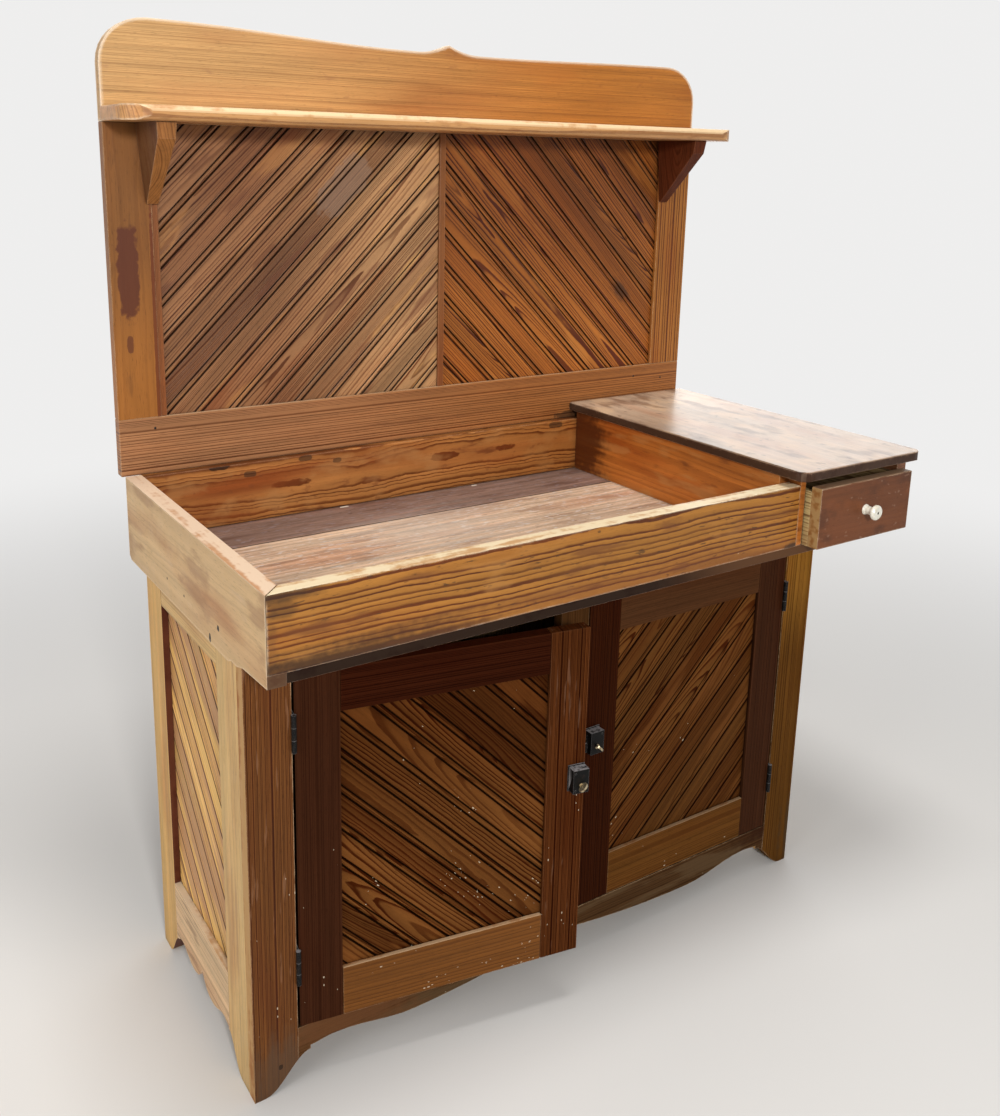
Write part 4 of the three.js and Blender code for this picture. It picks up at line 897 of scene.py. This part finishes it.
across, deep, tall = spans_of("drawer_knob", (X, Y, Z))
knob_front = (sum(across) / 2, deep[0] + KNOB_SCREW_SUNK, sum(tall) / 2)
screw_head("drawer_knob_screw", knob_front, FRONT, 0.0021, 0.0006, "drawer")
for index, (y, z, radius, _, _) in enumerate(TRAY_NAILS, 1):
    head = spot(0, y, z)
    head.x = spans_of("tray_side_board", (X,))[0][0]
    screw_head(f"tray_nail_{index}", head, LEFT, radius, NAIL_HEIGHT, "cabinet")
for index, (x, z) in enumerate(SPLASH_NAILS, 1):
    head = spot(x, 0, z)
    head.y = spans_of("splash_bottom_rail", (Y,))[0][0]
    screw_head(f"splash_nail_{index}", head, FRONT, SPLASH_NAIL_RADIUS, NAIL_HEIGHT, "cabinet")
for side in ("left", "right"):
    turn = DOOR_TURN if side == "left" else Matrix.Identity(3)
    along, out = turn @ X, turn @ -Y
    (first, last), (_, front), (bottom, top) = spans_of(f"{side}_catch_case", (along, out, Z))
    free_side = first + CATCH_SCREW_IN if side == "left" else last - CATCH_SCREW_IN
    for index, height in enumerate((bottom + CATCH_SCREW_UP, top - CATCH_SCREW_UP), 1):
        place = along * free_side + out * front + Z * height
        screw_head(f"{side}_catch_screw_{index}", place, out, 0.0017, 0.0005, f"{side}_door")

# ---- Eased edges

WELD_DISTANCE = 0.00001
EASED, EASED_TRAY, EASED_METAL = 0.0013, 0.002, 0.0002  # metres
EASED_ANGLE = math.radians(35)
METAL_ENDINGS = ("_leaf", "_case", "_turn", "_keeper")
NOT_EASED = ("side_right", "shelf", "case_top", "drawer_knob")  # nor the panels

for name, obj in nodes.items():
    weld = obj.modifiers.new("weld", "WELD")
    weld.merge_threshold = WELD_DISTANCE
    if "panel" in name or name in NOT_EASED:
        continue
    bevel = obj.modifiers.new("bevel", "BEVEL")
    bevel.width = EASED_TRAY if name.startswith("tray") else EASED
    if name.endswith(METAL_ENDINGS):
        bevel.width = EASED_METAL
    bevel.segments = 2
    bevel.limit_method = "ANGLE"
    bevel.angle_limit = EASED_ANGLE

# ---- Floor, lights and world

BACKGROUND = (0.86, 0.855, 0.85, 1)
FLOOR_COLOUR = (0.76, 0.75, 0.735, 1)
FLOOR_RADIUS = 40
FADE_FROM, FADE_TO = 0.9, 3.4  # metres from the middle, where the floor turns into the background
SOFT_LIGHT = 0.33

# Lamps: name, place, target, size, power and colour
LAMPS = (
    ("front", (-1.3, -3.3, 2.0), (0.0, 0.1, 0.8), (0.4, 0.4), 70, (1.0, 0.98, 0.95)),
    ("left", (-3.4, -0.7, 1.9), (-0.5, 0.1, 0.6), (2.0, 1.5), 34, (1.0, 0.97, 0.93)),
    ("top", (-0.2, -0.35, 3.4), (-0.1, 0.0, 0.0), (0.8, 0.8), 40, (1.0, 0.98, 0.95)),
    ("back", (3.0, 2.7, 1.7), (0.2, 0.0, 0.8), (3.2, 1.8), 34, (1.0, 0.99, 0.98)),
)


def floor():
    bpy.ops.mesh.primitive_circle_add(vertices=128, radius=FLOOR_RADIUS, fill_type="NGON",
                                      location=(0, 0, 0))
    disc = bpy.context.object
    disc.name = "floor"
    material, g, shader = new_material("floor")
    place = g.add("TexCoord").outputs["Object"]
    away = g.add("VectorMath", {0: place}, operation="LENGTH").outputs["Value"]
    shader.inputs["Base Color"].default_value = FLOOR_COLOUR
    shader.inputs["Roughness"].default_value = 0.85
    glow = g.add("Emission", {"Color": BACKGROUND, "Strength": 1.0})
    path = g.add("LightPath").outputs
    shown = g.math("MAXIMUM", path["Is Camera Ray"], path["Is Glossy Ray"])
    share = g.mul(g.step(away, FADE_FROM, FADE_TO), shown)
    blend = g.add("MixShader", {0: share, 1: shader.outputs[0], 2: glow.outputs[0]})
    output = next(n for n in g.tree.nodes if n.bl_idname == "ShaderNodeOutputMaterial")
    g.link(blend.outputs[0], output, 0)
    disc.data.materials.append(material)


def area(name, place, target, size, power, colour):
    data = bpy.data.lights.new(name, "AREA")
    data.shape = "RECTANGLE"
    data.size, data.size_y = size
    data.energy = power
    data.color = colour
    light = bpy.data.objects.new(name, data)
    light.location = place
    light.rotation_mode = "QUATERNION"
    light.rotation_quaternion = (Vector(target) - Vector(place)).to_track_quat("-Z", "Y")
    light.visible_camera = False
    bpy.context.scene.collection.objects.link(light)


def world():
    scene_world = bpy.data.worlds.new("world")
    bpy.context.scene.world = scene_world
    scene_world.use_nodes = True
    tree = scene_world.node_tree
    tree.nodes.clear()
    g = Graph(tree)
    path = g.add("LightPath").outputs
    shown = g.math("MAXIMUM", path["Is Camera Ray"], path["Is Transmission Ray"])
    shown = g.math("MAXIMUM", shown, path["Is Glossy Ray"])
    soft = g.add("Background", {"Color": (1.0, 1.0, 1.0, 1), "Strength": SOFT_LIGHT})
    plain = g.add("Background", {"Color": BACKGROUND, "Strength": 1.0})
    blend = g.add("MixShader", {0: shown, 1: soft.outputs[0], 2: plain.outputs[0]})
    g.link(blend.outputs[0], g.add("OutputWorld"), 0)


floor()
for lamp in LAMPS:
    area(*lamp)
world()

bpy.context.scene.view_settings.view_transform = "Standard"
